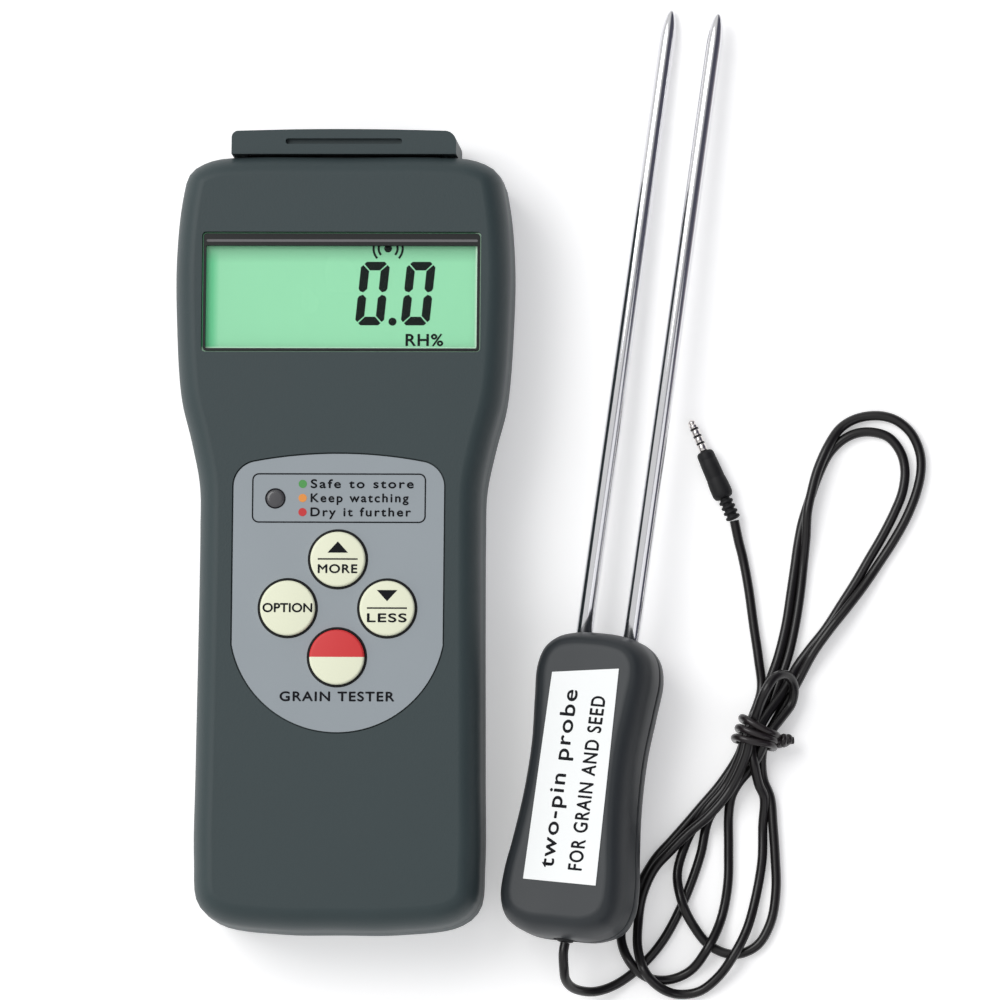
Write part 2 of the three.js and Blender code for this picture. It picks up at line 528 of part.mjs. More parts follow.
/** What the handle holds: pin clamp, its two screws, the terminal board and the handle's screws. */
function handleInside() {
  const pinHoles = [-1, 1].map((side) => rod(side * PIN_SPREAD, -20, 0, 0, PIN_RADIUS + GAP));
  const screwHoles = [-1, 1].map((side) => post(side * PIN_SPREAD, -9, 1, 5, 1.4, 12));
  const clampScrew = [[0, 2.1], [1.1, 2.1], [1.1, 3.8], [2, 3.8], [2, 5], [0, 5]];
  const handleScrew = [[0, -8], [2.1, -8], [2.1, -5.6], [1.2, -5.6], [1.2, 5], [0, 5.6]];
  const clamp = cut(box([-8.5, -13.2, -3.5], [8.5, -5, 3.5]), ...pinHoles, ...screwHoles);
  return [
    piece('pin_clamp', shaped(clamp), 'label'),
    piece('clamp_screw_left', turned(-PIN_SPREAD, -9, clampScrew, 12), 'screw'),
    piece('clamp_screw_right', turned(PIN_SPREAD, -9, clampScrew, 12), 'screw'),
    piece('terminal_board', box([-7.5, -30, -1.6], [7.5, -16, 0]), 'board'),
    piece('handle_screw_upper', turned(0, HANDLE_SCREWS[0], handleScrew, 12), 'screw'),
    piece('handle_screw_lower', turned(0, HANDLE_SCREWS[1], handleScrew, 12), 'screw'),
  ];
}

/** Rubber gland that the lead leaves the handle through. */
function cordGland() {
  const profile = [[0, -63.6], [1.6, -63.6], [2.4, -62.4], [2.4, -58.6], [0, -58.6]];
  const points = profile.map(([radius, height]) => new THREE.Vector2(radius, height));
  return piece('cord_gland', new THREE.LatheGeometry(points, 12), 'rubber');
}

/** The probe without its lead, in its own frame. */
function probe() {
  const group = new THREE.Group();
  group.add(...handleShells(), probeLabel(), pin('pin_left', -1), pin('pin_right', 1));
  group.add(...handleInside(), cordGland());
  const turn = new THREE.Matrix4().makeRotationZ(THREE.MathUtils.degToRad(-PROBE_TURN));
  const drop = new THREE.Matrix4().makeRotationX(THREE.MathUtils.degToRad(-PROBE_DROP));
  const roll = new THREE.Matrix4().makeRotationY(THREE.MathUtils.degToRad(-PROBE_ROLL));
  group.applyMatrix4(turn.multiply(drop).multiply(roll));
  group.position.set(...PROBE_TOP);
  return group;
}

/** The lead, with one smooth curve through its route. */
function lead() {
  const route = LEAD_ROUTE.map(([x, y, z]) => new THREE.Vector3(x, y, z));
  const path = new THREE.CatmullRomCurve3(route, false, 'centripetal');
  const section = new THREE.Shape();
  section.absarc(0, 0, LEAD_DIAMETER / 2, 0, 2 * Math.PI, false);
  const settings = { steps: LEAD_STEPS, curveSegments: 4, bevelEnabled: false, extrudePath: path };
  return piece('lead', new THREE.ExtrudeGeometry(section, settings), 'lead');
}

/** The wrap that holds the bundle of loops together. */
function leadTie() {
  const outer = box(
    [-TIE.halfWidth - TIE.wall, -TIE.length / 2, TIE.low - TIE.wall],
    [TIE.halfWidth + TIE.wall, TIE.length / 2, TIE.high + TIE.wall],
  );
  const inner = box([-TIE.halfWidth, -TIE.length, TIE.low], [TIE.halfWidth, TIE.length, TIE.high]);
  const band = shaped(cut(outer, inner)).rotateZ(THREE.MathUtils.degToRad(-TIE.turn));
  return piece('lead_tie', band.translate(...TIE.middle, 0), 'rubber');
}

/** Four-pole plug with its moulded body and ribbed relief, built along +Y and then turned. */
function plug() {
  const [bodyStart, bodyEnd] = PLUG_BODY;
  const turnedPiece = (name, profile, finish, sides = 14) => {
    const points = profile.map(([radius, height]) => new THREE.Vector2(radius, height));
    return piece(name, new THREE.LatheGeometry(points, sides), finish);
  };
  const ribs = [0, 1, 2, 3].flatMap((index) => {
    const base = 0.3 + index * 1.15;
    return [[1.05, base], [1.5, base + 0.15], [1.5, base + 0.75], [1.05, base + 0.9]];
  });
  const core = [[0, bodyEnd + 0.1], [PLUG_CORE_RADIUS, bodyEnd + 0.1]];
  PLUG_BANDS.forEach((start) => {
    core.push([PLUG_CORE_RADIUS, start], [PLUG_CONTACT_RADIUS - 0.06, start]);
    const end = start + PLUG_BAND_LENGTH;
    core.push([PLUG_CONTACT_RADIUS - 0.06, end], [PLUG_CORE_RADIUS, end]);
  });
  core.push([PLUG_CORE_RADIUS, PLUG_LENGTH - 1.6], [0, PLUG_LENGTH - 1.6]);
  const sleeve = (low, high) => {
    const inner = PLUG_CORE_RADIUS + 0.1;
    const outer = PLUG_CONTACT_RADIUS;
    return [[inner, low], [outer, low], [outer, high], [inner, high], [inner, low]];
  };
  const clear = 0.03;
  const after = (index) => PLUG_BANDS[index] + PLUG_BAND_LENGTH + clear;
  const tip = [
    [PLUG_CORE_RADIUS + 0.1, after(2)],
    [PLUG_CONTACT_RADIUS, after(2)],
    [PLUG_CONTACT_RADIUS, PLUG_LENGTH - 1.3],
    [0.62, PLUG_LENGTH - 1], [0.85, PLUG_LENGTH - 0.75], [0.5, PLUG_LENGTH - 0.15], [0, PLUG_LENGTH],
    [0, PLUG_LENGTH - 1.4], [PLUG_CORE_RADIUS + 0.1, PLUG_LENGTH - 1.4], [PLUG_CORE_RADIUS + 0.1, after(2)],
  ];
  const body = [
    [0, bodyStart], [1.9, bodyStart], [2.15, bodyStart + 0.5], [2, bodyStart + 5], [1.75, bodyEnd - 0.5],
    [1.5, bodyEnd], [0, bodyEnd],
  ];
  const pieces = new THREE.Group();
  pieces.add(
    turnedPiece('plug_relief', [[0, 0.3], ...ribs, [1.05, bodyStart - 0.1], [0, bodyStart - 0.1]], 'rubber'),
    turnedPiece('plug_body', body, 'rubber'),
    turnedPiece('plug_core', core, 'rubber', 12),
    turnedPiece('plug_sleeve', sleeve(bodyEnd + 0.1, PLUG_BANDS[0] - clear), 'plug_metal'),
    turnedPiece('plug_ring_2', sleeve(after(0), PLUG_BANDS[1] - clear), 'plug_metal'),
    turnedPiece('plug_ring_1', sleeve(after(1), PLUG_BANDS[2] - clear), 'plug_metal'),
    turnedPiece('plug_tip', tip, 'plug_metal'),
  );
  pieces.rotation.z = THREE.MathUtils.degToRad(PLUG_TURN);
  pieces.position.set(...PLUG_END);
  return pieces;
}

const group = new THREE.Group();
group.add(rearShell(), frontShell(), batteryDoor(), endCap(), probeSocket(), ...display());
group.add(keypadPanel(), keypadMat());
group.add(...keys(), ...electronics(), ...batteries(), ...caseScrews());
group.add(probe(), lead(), leadTie(), plug());

export default group;
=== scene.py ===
import math

import bpy
import numpy as np
from mathutils import Matrix, Vector
from mathutils.geometry import tessellate_polygon


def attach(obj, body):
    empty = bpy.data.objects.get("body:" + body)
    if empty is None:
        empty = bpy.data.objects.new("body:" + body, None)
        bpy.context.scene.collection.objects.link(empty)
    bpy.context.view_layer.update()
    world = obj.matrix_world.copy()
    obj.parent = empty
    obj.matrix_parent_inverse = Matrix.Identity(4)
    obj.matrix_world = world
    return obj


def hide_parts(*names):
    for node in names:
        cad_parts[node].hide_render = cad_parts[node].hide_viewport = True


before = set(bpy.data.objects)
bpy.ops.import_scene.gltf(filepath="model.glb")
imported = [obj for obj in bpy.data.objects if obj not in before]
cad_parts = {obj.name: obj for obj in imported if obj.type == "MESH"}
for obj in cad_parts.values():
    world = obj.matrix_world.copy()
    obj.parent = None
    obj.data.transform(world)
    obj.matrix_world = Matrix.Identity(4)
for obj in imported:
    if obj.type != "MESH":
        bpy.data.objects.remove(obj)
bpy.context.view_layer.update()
MM = 0.001

# Camera: almost straight above the face, a little to the right of the meter and towards its battery end,
# and far away with a long lens, so that the sides hardly show.
CAMERA_DISTANCE = 2.4
VIEW_WIDTH = 0.2055
VIEW_CENTRE = Vector((0.0322, 0.0069, 0.013))
VIEW_LEAN = (0.068, -0.1045)
VIEW_TURN = math.radians(0.55)
camera = bpy.data.objects.new("camera", bpy.data.cameras.new("camera"))
bpy.context.scene.collection.objects.link(camera)
bpy.context.scene.camera = camera
back = Vector((*VIEW_LEAN, 1)).normalized()
right = Vector((0, 1, 0)).cross(back).normalized()
up = back.cross(right)
right_turned = right * math.cos(VIEW_TURN) + up * math.sin(VIEW_TURN)
up_turned = up * math.cos(VIEW_TURN) - right * math.sin(VIEW_TURN)
camera.matrix_world = Matrix((right_turned, up_turned, back)).transposed().to_4x4()
camera.location = VIEW_CENTRE + back * CAMERA_DISTANCE
camera.data.lens = camera.data.sensor_width * CAMERA_DISTANCE / VIEW_WIDTH
camera.data.clip_end = 10


# Surface grain that every moulded, painted or rubber finish shares: a fine tooth from the mould, and broad
# soft clouds where hands and dust have changed the shine.
def surface_grain():
    """Node group: Tooth is fine noise and Cloud is broad noise, at Fine and Broad cells per metre."""
    group = bpy.data.node_groups.new("surface_grain", "ShaderNodeTree")
    for name, start in (("Fine", 4000.0), ("Broad", 60.0)):
        socket = group.interface.new_socket(name, in_out="INPUT", socket_type="NodeSocketFloat")
        socket.default_value = start
    for name in ("Tooth", "Cloud"):
        group.interface.new_socket(name, in_out="OUTPUT", socket_type="NodeSocketFloat")
    nodes, links = group.nodes, group.links
    entry, leave = nodes.new("NodeGroupInput"), nodes.new("NodeGroupOutput")
    where = nodes.new("ShaderNodeTexCoord")
    for name, size, detail in (("Tooth", "Fine", 2.0), ("Cloud", "Broad", 4.0)):
        noise = nodes.new("ShaderNodeTexNoise")
        noise.inputs["Detail"].default_value = detail
        links.new(where.outputs["Object"], noise.inputs["Vector"])
        links.new(entry.outputs[size], noise.inputs["Scale"])
        links.new(noise.outputs["Fac"], leave.inputs[name])
    return group


GRAIN = surface_grain()


def rgb(red, green, blue):
    """Linear colour of a display colour given in bytes."""
    value = np.array([red, green, blue]) / 255
    linear = np.where(value <= 0.04045, value / 12.92, ((value + 0.055) / 1.055) ** 2.4)
    return (*linear.tolist(), 1.0)


def finish_of(name, colour, rough, cloudy=0.12, shine=0.06, tooth=0.02, fine=4000.0, broad=60.0, metal=0.0,
              coat=0.0, gloss=0.3):
    """A finish with grain: cloudy is how much the colour varies, shine how much the roughness varies, tooth the
    bump's depth in mm, and gloss the strength of the mirror reflection."""
    material = bpy.data.materials.new(name)
    material.use_nodes = True
    nodes, links = material.node_tree.nodes, material.node_tree.links
    shader = nodes["Principled BSDF"]
    shader.inputs["Metallic"].default_value = metal
    shader.inputs["Coat Weight"].default_value = coat
    shader.inputs["Specular IOR Level"].default_value = gloss
    grain = nodes.new("ShaderNodeGroup")
    grain.node_tree = GRAIN
    grain.inputs["Fine"].default_value = fine
    grain.inputs["Broad"].default_value = broad
    shade = nodes.new("ShaderNodeMix")
    shade.data_type = "RGBA"
    shade.inputs["A"].default_value = tuple(channel * (1 - cloudy) for channel in colour[:3]) + (1,)
    shade.inputs["B"].default_value = tuple(min(channel * (1 + cloudy), 1) for channel in colour[:3]) + (1,)
    links.new(grain.outputs["Cloud"], shade.inputs["Factor"])
    links.new(shade.outputs["Result"], shader.inputs["Base Color"])
    spread = nodes.new("ShaderNodeMapRange")
    spread.inputs["To Min"].default_value = rough - shine
    spread.inputs["To Max"].default_value = rough + shine
    links.new(grain.outputs["Cloud"], spread.inputs["Value"])
    links.new(spread.outputs["Result"], shader.inputs["Roughness"])
    bump = nodes.new("ShaderNodeBump")
    bump.inputs["Distance"].default_value = tooth * MM
    links.new(grain.outputs["Tooth"], bump.inputs["Height"])
    links.new(bump.outputs["Normal"], shader.inputs["Normal"])
    return material


def add_piece(name, vertices, faces, material, body, slot, sharp=40):
    """A smooth-shaded mesh piece that rides on a body. Edges sharper than sharp degrees stay crisp."""
    mesh = bpy.data.meshes.new(name)
    mesh.from_pydata(np.asarray(vertices).tolist(), [], [list(face) for face in faces])
    mesh.materials.append(material)
    mesh.shade_smooth()
    mesh.set_sharp_from_angle(angle=math.radians(sharp))
    obj = bpy.data.objects.new(name, mesh)
    bpy.context.scene.collection.objects.link(obj)
    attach(obj, body)
    return obj


# Casing: two deep halves moulded in dark grey plastic that meet half way up, with a full soft edge all round.
# They are screwed together from the back. The lower half is cut away for the battery door.
def smooth_path(points, steps, closed=False):
    """Centripetal Catmull-Rom curve: each stretch blends the straight runs through its four nearest points,
    with knots apart by the square root of the distances between them."""
    base = np.asarray(points, float)
    ends = (base[-1:], base[:2]) if closed else (2 * base[:1] - base[1:2], 2 * base[-1:] - base[-2:-1])
    run = np.vstack([ends[0], base, ends[1]])
    first, second, third, fourth = run[:-3, None], run[1:-2, None], run[2:-1, None], run[3:, None]
    knot = [np.linalg.norm(b - a, axis=2, keepdims=True) ** 0.5 for a, b in
            ((first, second), (second, third), (third, fourth))]
    t1, t2, t3 = knot[0], knot[0] + knot[1], knot[0] + knot[1] + knot[2]
    t = t1 + (t2 - t1) * np.linspace(0, 1, steps, endpoint=False)[None, :, None]
    a1 = (t1 - t) / t1 * first + t / t1 * second
    a2 = (t2 - t) / (t2 - t1) * second + (t - t1) / (t2 - t1) * third
    a3 = (t3 - t) / (t3 - t2) * third + (t - t2) / (t3 - t2) * fourth
    b1 = (t2 - t) / t2 * a1 + t / t2 * a2
    b2 = (t3 - t) / (t3 - t1) * a2 + (t - t1) / (t3 - t1) * a3
    curve = ((t2 - t) / (t2 - t1) * b1 + (t - t1) / (t2 - t1) * b2).reshape(-1, base.shape[1])
    return curve if closed else np.vstack([curve, base[-1:]])


def outline_of(side, count):
    """Evenly spaced points and outward normals round a closed outline with like left and right sides."""
    mirrored = [(-x, y) for x, y in side[1:-1]][::-1]
    dense = smooth_path(list(side) + mirrored, 24, closed=True) * MM
    loop = np.vstack([dense, dense[:1]])
    travelled = np.r_[0, np.cumsum(np.linalg.norm(np.diff(loop, axis=0), axis=1))]
    spots = np.linspace(0, travelled[-1], count, endpoint=False)
    ring = np.stack([np.interp(spots, travelled, loop[:, axis]) for axis in (0, 1)], axis=1)
    along = np.roll(ring, -1, axis=0) - np.roll(ring, 1, axis=0)
    along /= np.linalg.norm(along, axis=1, keepdims=True)
    return ring, np.stack([-along[:, 1], along[:, 0]], axis=1)


def skin(rows, columns, wrap=True):
    """Quads between neighbouring rows of a grid, closing each row on itself if wrap is true."""
    row = np.arange(rows - 1)[:, None] * columns
    column = np.arange(columns if wrap else columns - 1)[None, :]
    after = (column + 1) % columns
    above = row + columns
    return np.stack([row + column, row + after, above + after, above + column], axis=2).reshape(-1, 4)


def stacked(side, count, levels):
    """A closed solid: one outline at several (inset, height) levels in mm, with a flat face at both ends."""
    ring, outward = outline_of(side, count)
    levels = np.asarray(levels, float) * MM
    plan = ring[None] - outward[None] * levels[:, None, :1]
    height = np.broadcast_to(levels[:, None, 1:], plan.shape[:2] + (1,))
    vertices = np.concatenate([plan, height], axis=2).reshape(-1, 3)
    turns = np.sign(np.sum(ring[:, 0] * np.roll(ring[:, 1], -1) - ring[:, 1] * np.roll(ring[:, 0], -1)))
    quads = skin(len(levels), count)
    lower, upper = np.arange(count)[::-1], np.arange(count) + (len(levels) - 1) * count
    if turns * (levels[-1, 1] - levels[0, 1]) < 0:
        quads, lower, upper = quads[:, ::-1], lower[::-1], upper[::-1]
    return vertices, quads.tolist() + [lower.tolist(), upper.tolist()]


def rounded(inset, low, high, steps=10):
    """Levels of a quarter ellipse from an upright wall at low to a flat face at high, moving in by inset."""
    angle = np.linspace(0, math.pi / 2, steps)
    return np.stack([inset * (1 - np.cos(angle)), low + (high - low) * np.sin(angle)], axis=1)


def cut_away(piece, *tools):
    """The piece with each (vertices, faces) solid taken out of it."""
    for vertices, faces in tools:
        mesh = bpy.data.meshes.new("tool")
        mesh.from_pydata(np.asarray(vertices).tolist(), [], [list(face) for face in faces])
        tool = bpy.data.objects.new("tool", mesh)
        bpy.context.scene.collection.objects.link(tool)
        cutter = piece.modifiers.new("cut", "BOOLEAN")
        cutter.operation = "DIFFERENCE"
        cutter.solver = "EXACT"
        cutter.object = tool
        graph = bpy.context.evaluated_depsgraph_get()
        result = bpy.data.meshes.new_from_object(piece.evaluated_get(graph))
        piece.modifiers.clear()
        old, piece.data = piece.data, result
        result.name = old.name
        bpy.data.objects.remove(tool)
    piece.data.shade_smooth()
    piece.data.set_sharp_from_angle(angle=math.radians(35))


def soften(piece, width):
    """A small round on the piece's sharp edges, and normals that keep its flat faces flat."""
    edge = piece.modifiers.new("edge", "BEVEL")
    edge.width = width * MM
    edge.segments = 2
    edge.limit_method = "ANGLE"
    edge.angle_limit = math.radians(50)
    edge.harden_normals = False
    even = piece.modifiers.new("even", "WEIGHTED_NORMAL")
    even.keep_sharp = True


def block(low, high):
    """The corners and faces of a box between two corners, in mm."""
    x, y, z = np.meshgrid(*[(low[axis], high[axis]) for axis in range(3)], indexing="ij")
    vertices = np.stack([x.ravel(), y.ravel(), z.ravel()], axis=1) * MM
    faces = [[0, 1, 3, 2], [4, 6, 7, 5], [0, 4, 5, 1], [2, 3, 7, 6], [0, 2, 6, 4], [1, 5, 7, 3]]
    return vertices, faces


def lathe(profile, centre, sides=64):
    """A closed solid turned about an upright axis. Its profile is (radius, height) in mm, from axis to axis."""
    radius, height = np.asarray(profile[1:-1], float).T
    angle = np.arange(sides) * 2 * math.pi / sides
    x = centre[0] + radius[:, None] * np.cos(angle)
    y = centre[1] + radius[:, None] * np.sin(angle)
    ring = np.stack([x, y, np.broadcast_to(height[:, None], x.shape)], axis=2).reshape(-1, 3)
    ends = [(centre[0], centre[1], profile[0][1]), (centre[0], centre[1], profile[-1][1])]
    vertices = np.vstack([ring, ends]) * MM
    spot, after = np.arange(sides), (np.arange(sides) + 1) % sides
    last = (len(radius) - 1) * sides
    start = np.stack([after, spot, np.full(sides, len(ring))], axis=1)
    finish = np.stack([last + spot, last + after, np.full(sides, len(ring) + 1)], axis=1)
    return vertices, skin(len(radius), sides).tolist() + start.tolist() + finish.tolist()


def drum(radius, low, high, centre=(0, 0), sides=64):
    """A plain upright cylinder between two heights in mm."""
    return lathe([(0, low), (radius, low), (radius, high), (0, high)], centre, sides)


CASE_SIDE = [
    (0, 77), (20, 77), (27.4, 76.2), (31.8, 73.6), (33.4, 68), (34.5, 56), (34.4, 44), (33.2, 27), (31, 18),
    (29.2, 9), (29, 0), (29.1, -20), (29.4, -50), (29.5, -68), (28.6, -77), (24.5, -80.6), (12, -82.4),
    (0, -82.5),
]
CASE_COUNT = 220
CASE_TOP = 26
PARTING = 14
WALL = 2
GAP = 0.3
SCREWS = [(-25, -72), (25, -72), (-28, 65.5), (28, 65.5)]
DOOR_HALF = 21
DOOR_TOP = -22
casing = finish_of("casing", rgb(55, 67, 69), 0.5, cloudy=0.06, tooth=0.03, fine=2600)

seam = [(0, PARTING - 0.5), (0.08, PARTING - 0.2), (0.3, PARTING - 0.1)]
rear_levels = np.vstack([rounded(5, 7, 0, 12)[::-1], seam])
rear_outer = stacked(CASE_SIDE, CASE_COUNT, rear_levels)
rear_hollow = stacked(CASE_SIDE, 120, [(7, WALL), (3.2, 4.2), (WALL, 8), (WALL, PARTING + 1)])
rear_shell = add_piece("rear_casing", *rear_outer, casing, "meter", "casing")
screw_wells = [drum(2.5, -1, 2.9, place, 40) for place in SCREWS]
door_bay = block((-DOOR_HALF - GAP, -86, -1), (DOOR_HALF + GAP, DOOR_TOP + GAP, WALL + 0.1))
cut_away(rear_shell, rear_hollow, door_bay, *screw_wells)
soften(rear_shell, 0.2)
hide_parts("rear_shell")

seam = [(0.3, PARTING + 0.1), (0.08, PARTING + 0.2), (0, PARTING + 0.5)]
front_levels = np.vstack([seam, rounded(4.4, 19.5, CASE_TOP, 12) + (0.1, 0)])
front_block = stacked(CASE_SIDE, CASE_COUNT, front_levels)
front_shell = add_piece("front_casing", *front_block, casing, "meter", "casing")
front_hollow = stacked(CASE_SIDE, 120, [(WALL, PARTING - 1), (WALL, 19), (2.8, 22.4), (4.3, CASE_TOP - WALL)])
DISPLAY_MIDDLE = 47.4
DISPLAY_SIZE = (55.8, 21.2)
FRAME_BAR = 0.5
TOP_BAR = 2.5
opening_low = DISPLAY_MIDDLE - DISPLAY_SIZE[1] / 2 - FRAME_BAR - GAP
opening_high = DISPLAY_MIDDLE + DISPLAY_SIZE[1] / 2 + TOP_BAR + GAP
opening_half = DISPLAY_SIZE[0] / 2 + FRAME_BAR + GAP


def arc(centre, radius, start, stop, steps=10):
    """Points round part of a circle, angles in degrees."""
    angle = np.radians(np.linspace(start, stop, steps))
    return np.stack([centre[0] + radius * np.cos(angle), centre[1] + radius * np.sin(angle)], axis=1)


def round_box(low, high, radius, steps=8):
    """A rectangle with round corners, anticlockwise, between two corners in mm."""
    corners = [(high[0], low[1], -90), (high[0], high[1], 0), (low[0], high[1], 90), (low[0], low[1], 180)]
    middle = np.add(low, high) / 2
    parts = []
    for x, y, turn in corners:
        centre = (x - math.copysign(radius, x - middle[0]), y - math.copysign(radius, y - middle[1]))
        parts.append(arc(centre, radius, turn, turn + 90, steps))
    return np.vstack(parts)


def circle(centre, radius, steps):
    """Points round a whole circle."""
    return arc(centre, radius, 0, 360, steps + 1)[:-1]


def plate(loops, low, high):
    """A flat plate between two heights in mm: the first loop is its edge and the others are holes in it."""
    rings = [np.asarray(loop, float) for loop in loops]
    flat = np.vstack(rings)
    count = len(flat)
    vertices = np.vstack([np.c_[flat, np.full(count, low)], np.c_[flat, np.full(count, high)]]) * MM
    triangles = np.array(tessellate_polygon([[Vector((x, y, 0)) for x, y in ring] for ring in rings]))
    spots = flat[triangles]
    area = np.cross(spots[:, 1] - spots[:, 0], spots[:, 2] - spots[:, 0])
    triangles[area < 0] = triangles[area < 0][:, ::-1]
    faces = (triangles + count).tolist() + triangles[:, ::-1].tolist()
    first = 0
    for index, ring in enumerate(rings):
        spot = first + np.arange(len(ring))
        after = first + (np.arange(len(ring)) + 1) % len(ring)
        signed = np.sum(ring[:, 0] * np.roll(ring[:, 1], -1) - ring[:, 1] * np.roll(ring[:, 0], -1))
        wall = np.stack([spot, after, after + count, spot + count], axis=1)
        faces += (wall if (signed > 0) == (index == 0) else wall[:, ::-1]).tolist()
        first += len(ring)
    return vertices, faces


PANEL_HALF = 21.6
PANEL_TOP = 14.95
PANEL_BOTTOM = -42.2
PANEL_TOP_RADIUS = 93
PANEL_BOTTOM_RADIUS = 22
PANEL_CORNER = 5.2
POCKET_DEPTH = 0.7


def panel_outline(margin):
    """The keypad sheet's edge: a shallow arch with round corners, straight sides and a round bottom."""
    half = PANEL_HALF + margin
    corner = PANEL_CORNER + margin
    top_radius = PANEL_TOP_RADIUS + margin
    top_middle = PANEL_TOP - PANEL_TOP_RADIUS
    lean = math.asin((half - corner) / (top_radius - corner))
    corner_y = top_middle + (top_radius - corner) * math.cos(lean)
    bottom_radius = PANEL_BOTTOM_RADIUS + margin
    bottom_middle = PANEL_BOTTOM + PANEL_BOTTOM_RADIUS
    sweep = math.degrees(math.acos(half / bottom_radius))
    degrees = math.degrees(lean)
    return np.vstack([
        arc((0, bottom_middle), bottom_radius, 180 + sweep, 360 - sweep, 60),
        arc((half - corner, corner_y), corner, 0, 90 - degrees, 16),
        arc((0, top_middle), top_radius, 90 - degrees, 90 + degrees, 40)[1:-1],
        arc((corner - half, corner_y), corner, 90 + degrees, 180, 16),
    ])


KEY_SPREAD = (10.2, 10.05)
KEY_MIDDLE = -16.8
KEY_PLACES = {
    "hold": (0, KEY_MIDDLE + KEY_SPREAD[1]),
    "select": (-KEY_SPREAD[0], KEY_MIDDLE),
    "zero": (KEY_SPREAD[0], KEY_MIDDLE),
    "power": (0, KEY_MIDDLE - KEY_SPREAD[1]),
}
KEY_HOLE = 6.2
LAMP = (-13, 5.75)
LAMP_RADIUS = 1.9
display_opening = plate([round_box((-opening_half, opening_low), (opening_half, opening_high), 0.8)], 20, 30)
pocket = plate([panel_outline(GAP)], CASE_TOP - POCKET_DEPTH, CASE_TOP + 1)
key_holes = [drum(KEY_HOLE, 20, 30, place) for place in KEY_PLACES.values()]
lamp_hole = drum(LAMP_RADIUS + GAP, 20, 30, LAMP, 40)
socket_hole = block((-5.3, 73, 9.2), (5.3, 79, 18.8))
cut_away(front_shell, front_hollow, display_opening, pocket, lamp_hole, socket_hole, *key_holes)
soften(front_shell, 0.25)
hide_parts("front_shell")

# Battery door: the part of the back that slides off over the bottom end, a flat plastic moulding with a ribbed
# thumb grip.
door_block = stacked(CASE_SIDE, CASE_COUNT, rear_levels)
door = add_piece("battery_cover", *door_block, casing, "battery_door", "casing")
cut_away(
    door,
    block((-60, -100, -1), (-DOOR_HALF, 100, 20)),
    block((DOOR_HALF, -100, -1), (60, 100, 20)),
    block((-60, DOOR_TOP, -1), (60, 100, 20)),
    block((-60, -100, WALL - 0.2), (60, 100, 20)),
    block((-60, -100, -1), (60, 100, 0.25)),
    *[block((-9, y, -1), (9, y + 0.9, 0.7)) for y in np.arange(-32, -25, 1.8)],
)
soften(door, 0.15)
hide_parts("battery_door")

# End cap: a shallow cap that pushes on over the socket at the display end, with a finger slot in its face.
cap_plan = np.vstack([
    [(-23.15, 77.3), (23.15, 77.3)],
    arc((20.75, 79.7), 2.4, 0, 84, 10),
    smooth_path([(20.9, 82.1), (8, 82.38), (-8, 82.4), (-21.4, 82.1)], 8)[1:-1],
    arc((-21.75, 80.7), 1.4, 100, 180, 8),
])
cap_low, cap_high = 5, 23
cap = add_piece("socket_cap", *plate([cap_plan], cap_low, cap_high), casing, "end_cap", "casing")
slot_plan = round_box((-12, 79.35), (12, 80.5), 0.5)
cut_away(cap, block((-20, 76, 7.6), (20, 80.6, 20.4)), plate([slot_plan], 21.6, 25))
soften(cap, 0.35)
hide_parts("end_cap")

# Face sheet: a grey printed sheet sunk into the face, with round holes for the keys and a small one for the
# lamp. Its signs and words are thin layers of ink on top.
SHEET_TOP = 25.95
panel_finish = finish_of("face_sheet", rgb(152, 160, 165), 0.55, cloudy=0.05, tooth=0.012, fine=5200,
                         broad=45)
dark_ink = finish_of("dark_ink", rgb(20, 22, 26), 0.6, cloudy=0.1, tooth=0.0, gloss=0.1)
key_rims = [circle(place, KEY_HOLE, 72) for place in KEY_PLACES.values()]
lamp_rim = circle(LAMP, LAMP_RADIUS + 0.12, 40)
sheet_plan = plate([panel_outline(0), *key_rims, lamp_rim], 25.4, SHEET_TOP)
sheet = add_piece("face_sheet", *sheet_plan, panel_finish, "meter", "panel")
soften(sheet, 0.15)
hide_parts("keypad_panel")


def ink(name, loops, height, material, body="meter", slot="panel", thick=0.02):
    """A thin printed layer whose lower face is at a height in mm."""
    return add_piece(name, *plate(loops, height, height + thick), material, body, slot)


def letters(words, spacing):
    """Flat vertices and faces of a line of text with its left end and its baseline at the origin."""
    writing = bpy.data.curves.new("writing", "FONT")
    writing.body = words
    writing.space_character = spacing
    holder = bpy.data.objects.new("writing", writing)
    bpy.context.scene.collection.objects.link(holder)
    mesh = bpy.data.meshes.new_from_object(holder.evaluated_get(bpy.context.evaluated_depsgraph_get()))
    spots = np.array([list(vertex.co) for vertex in mesh.vertices])
    faces = [list(face.vertices) for face in mesh.polygons]
    bpy.data.objects.remove(holder)
    bpy.data.curves.remove(writing)
    return spots - (spots[:, 0].min(), 0, 0), faces


def lettering(name, words, start, width, cap, height, material, body="meter", slot="panel", bold=0.05,
              spacing=1.1):
    """Printed words from start (left end, baseline), with a given width and capital height in mm. Four copies,
    moved bold mm left, right, up and down, thicken the strokes."""
    capital = letters("H", 1)[0][:, 1].max()
    spots, faces = letters(words, spacing)
    spots = spots * (width / spots[:, 0].max(), cap / capital, 1) + (*start, height)
    shifts = ((bold, 0, 0), (-bold, 0, 0.004), (0, bold, 0.008), (0, -bold, 0.012))
    copies = [[index + len(spots) * turn for index in face] for turn in range(4) for face in faces]
    return add_piece(name, np.vstack([spots + shift for shift in shifts]) * MM, copies, material, body, slot)


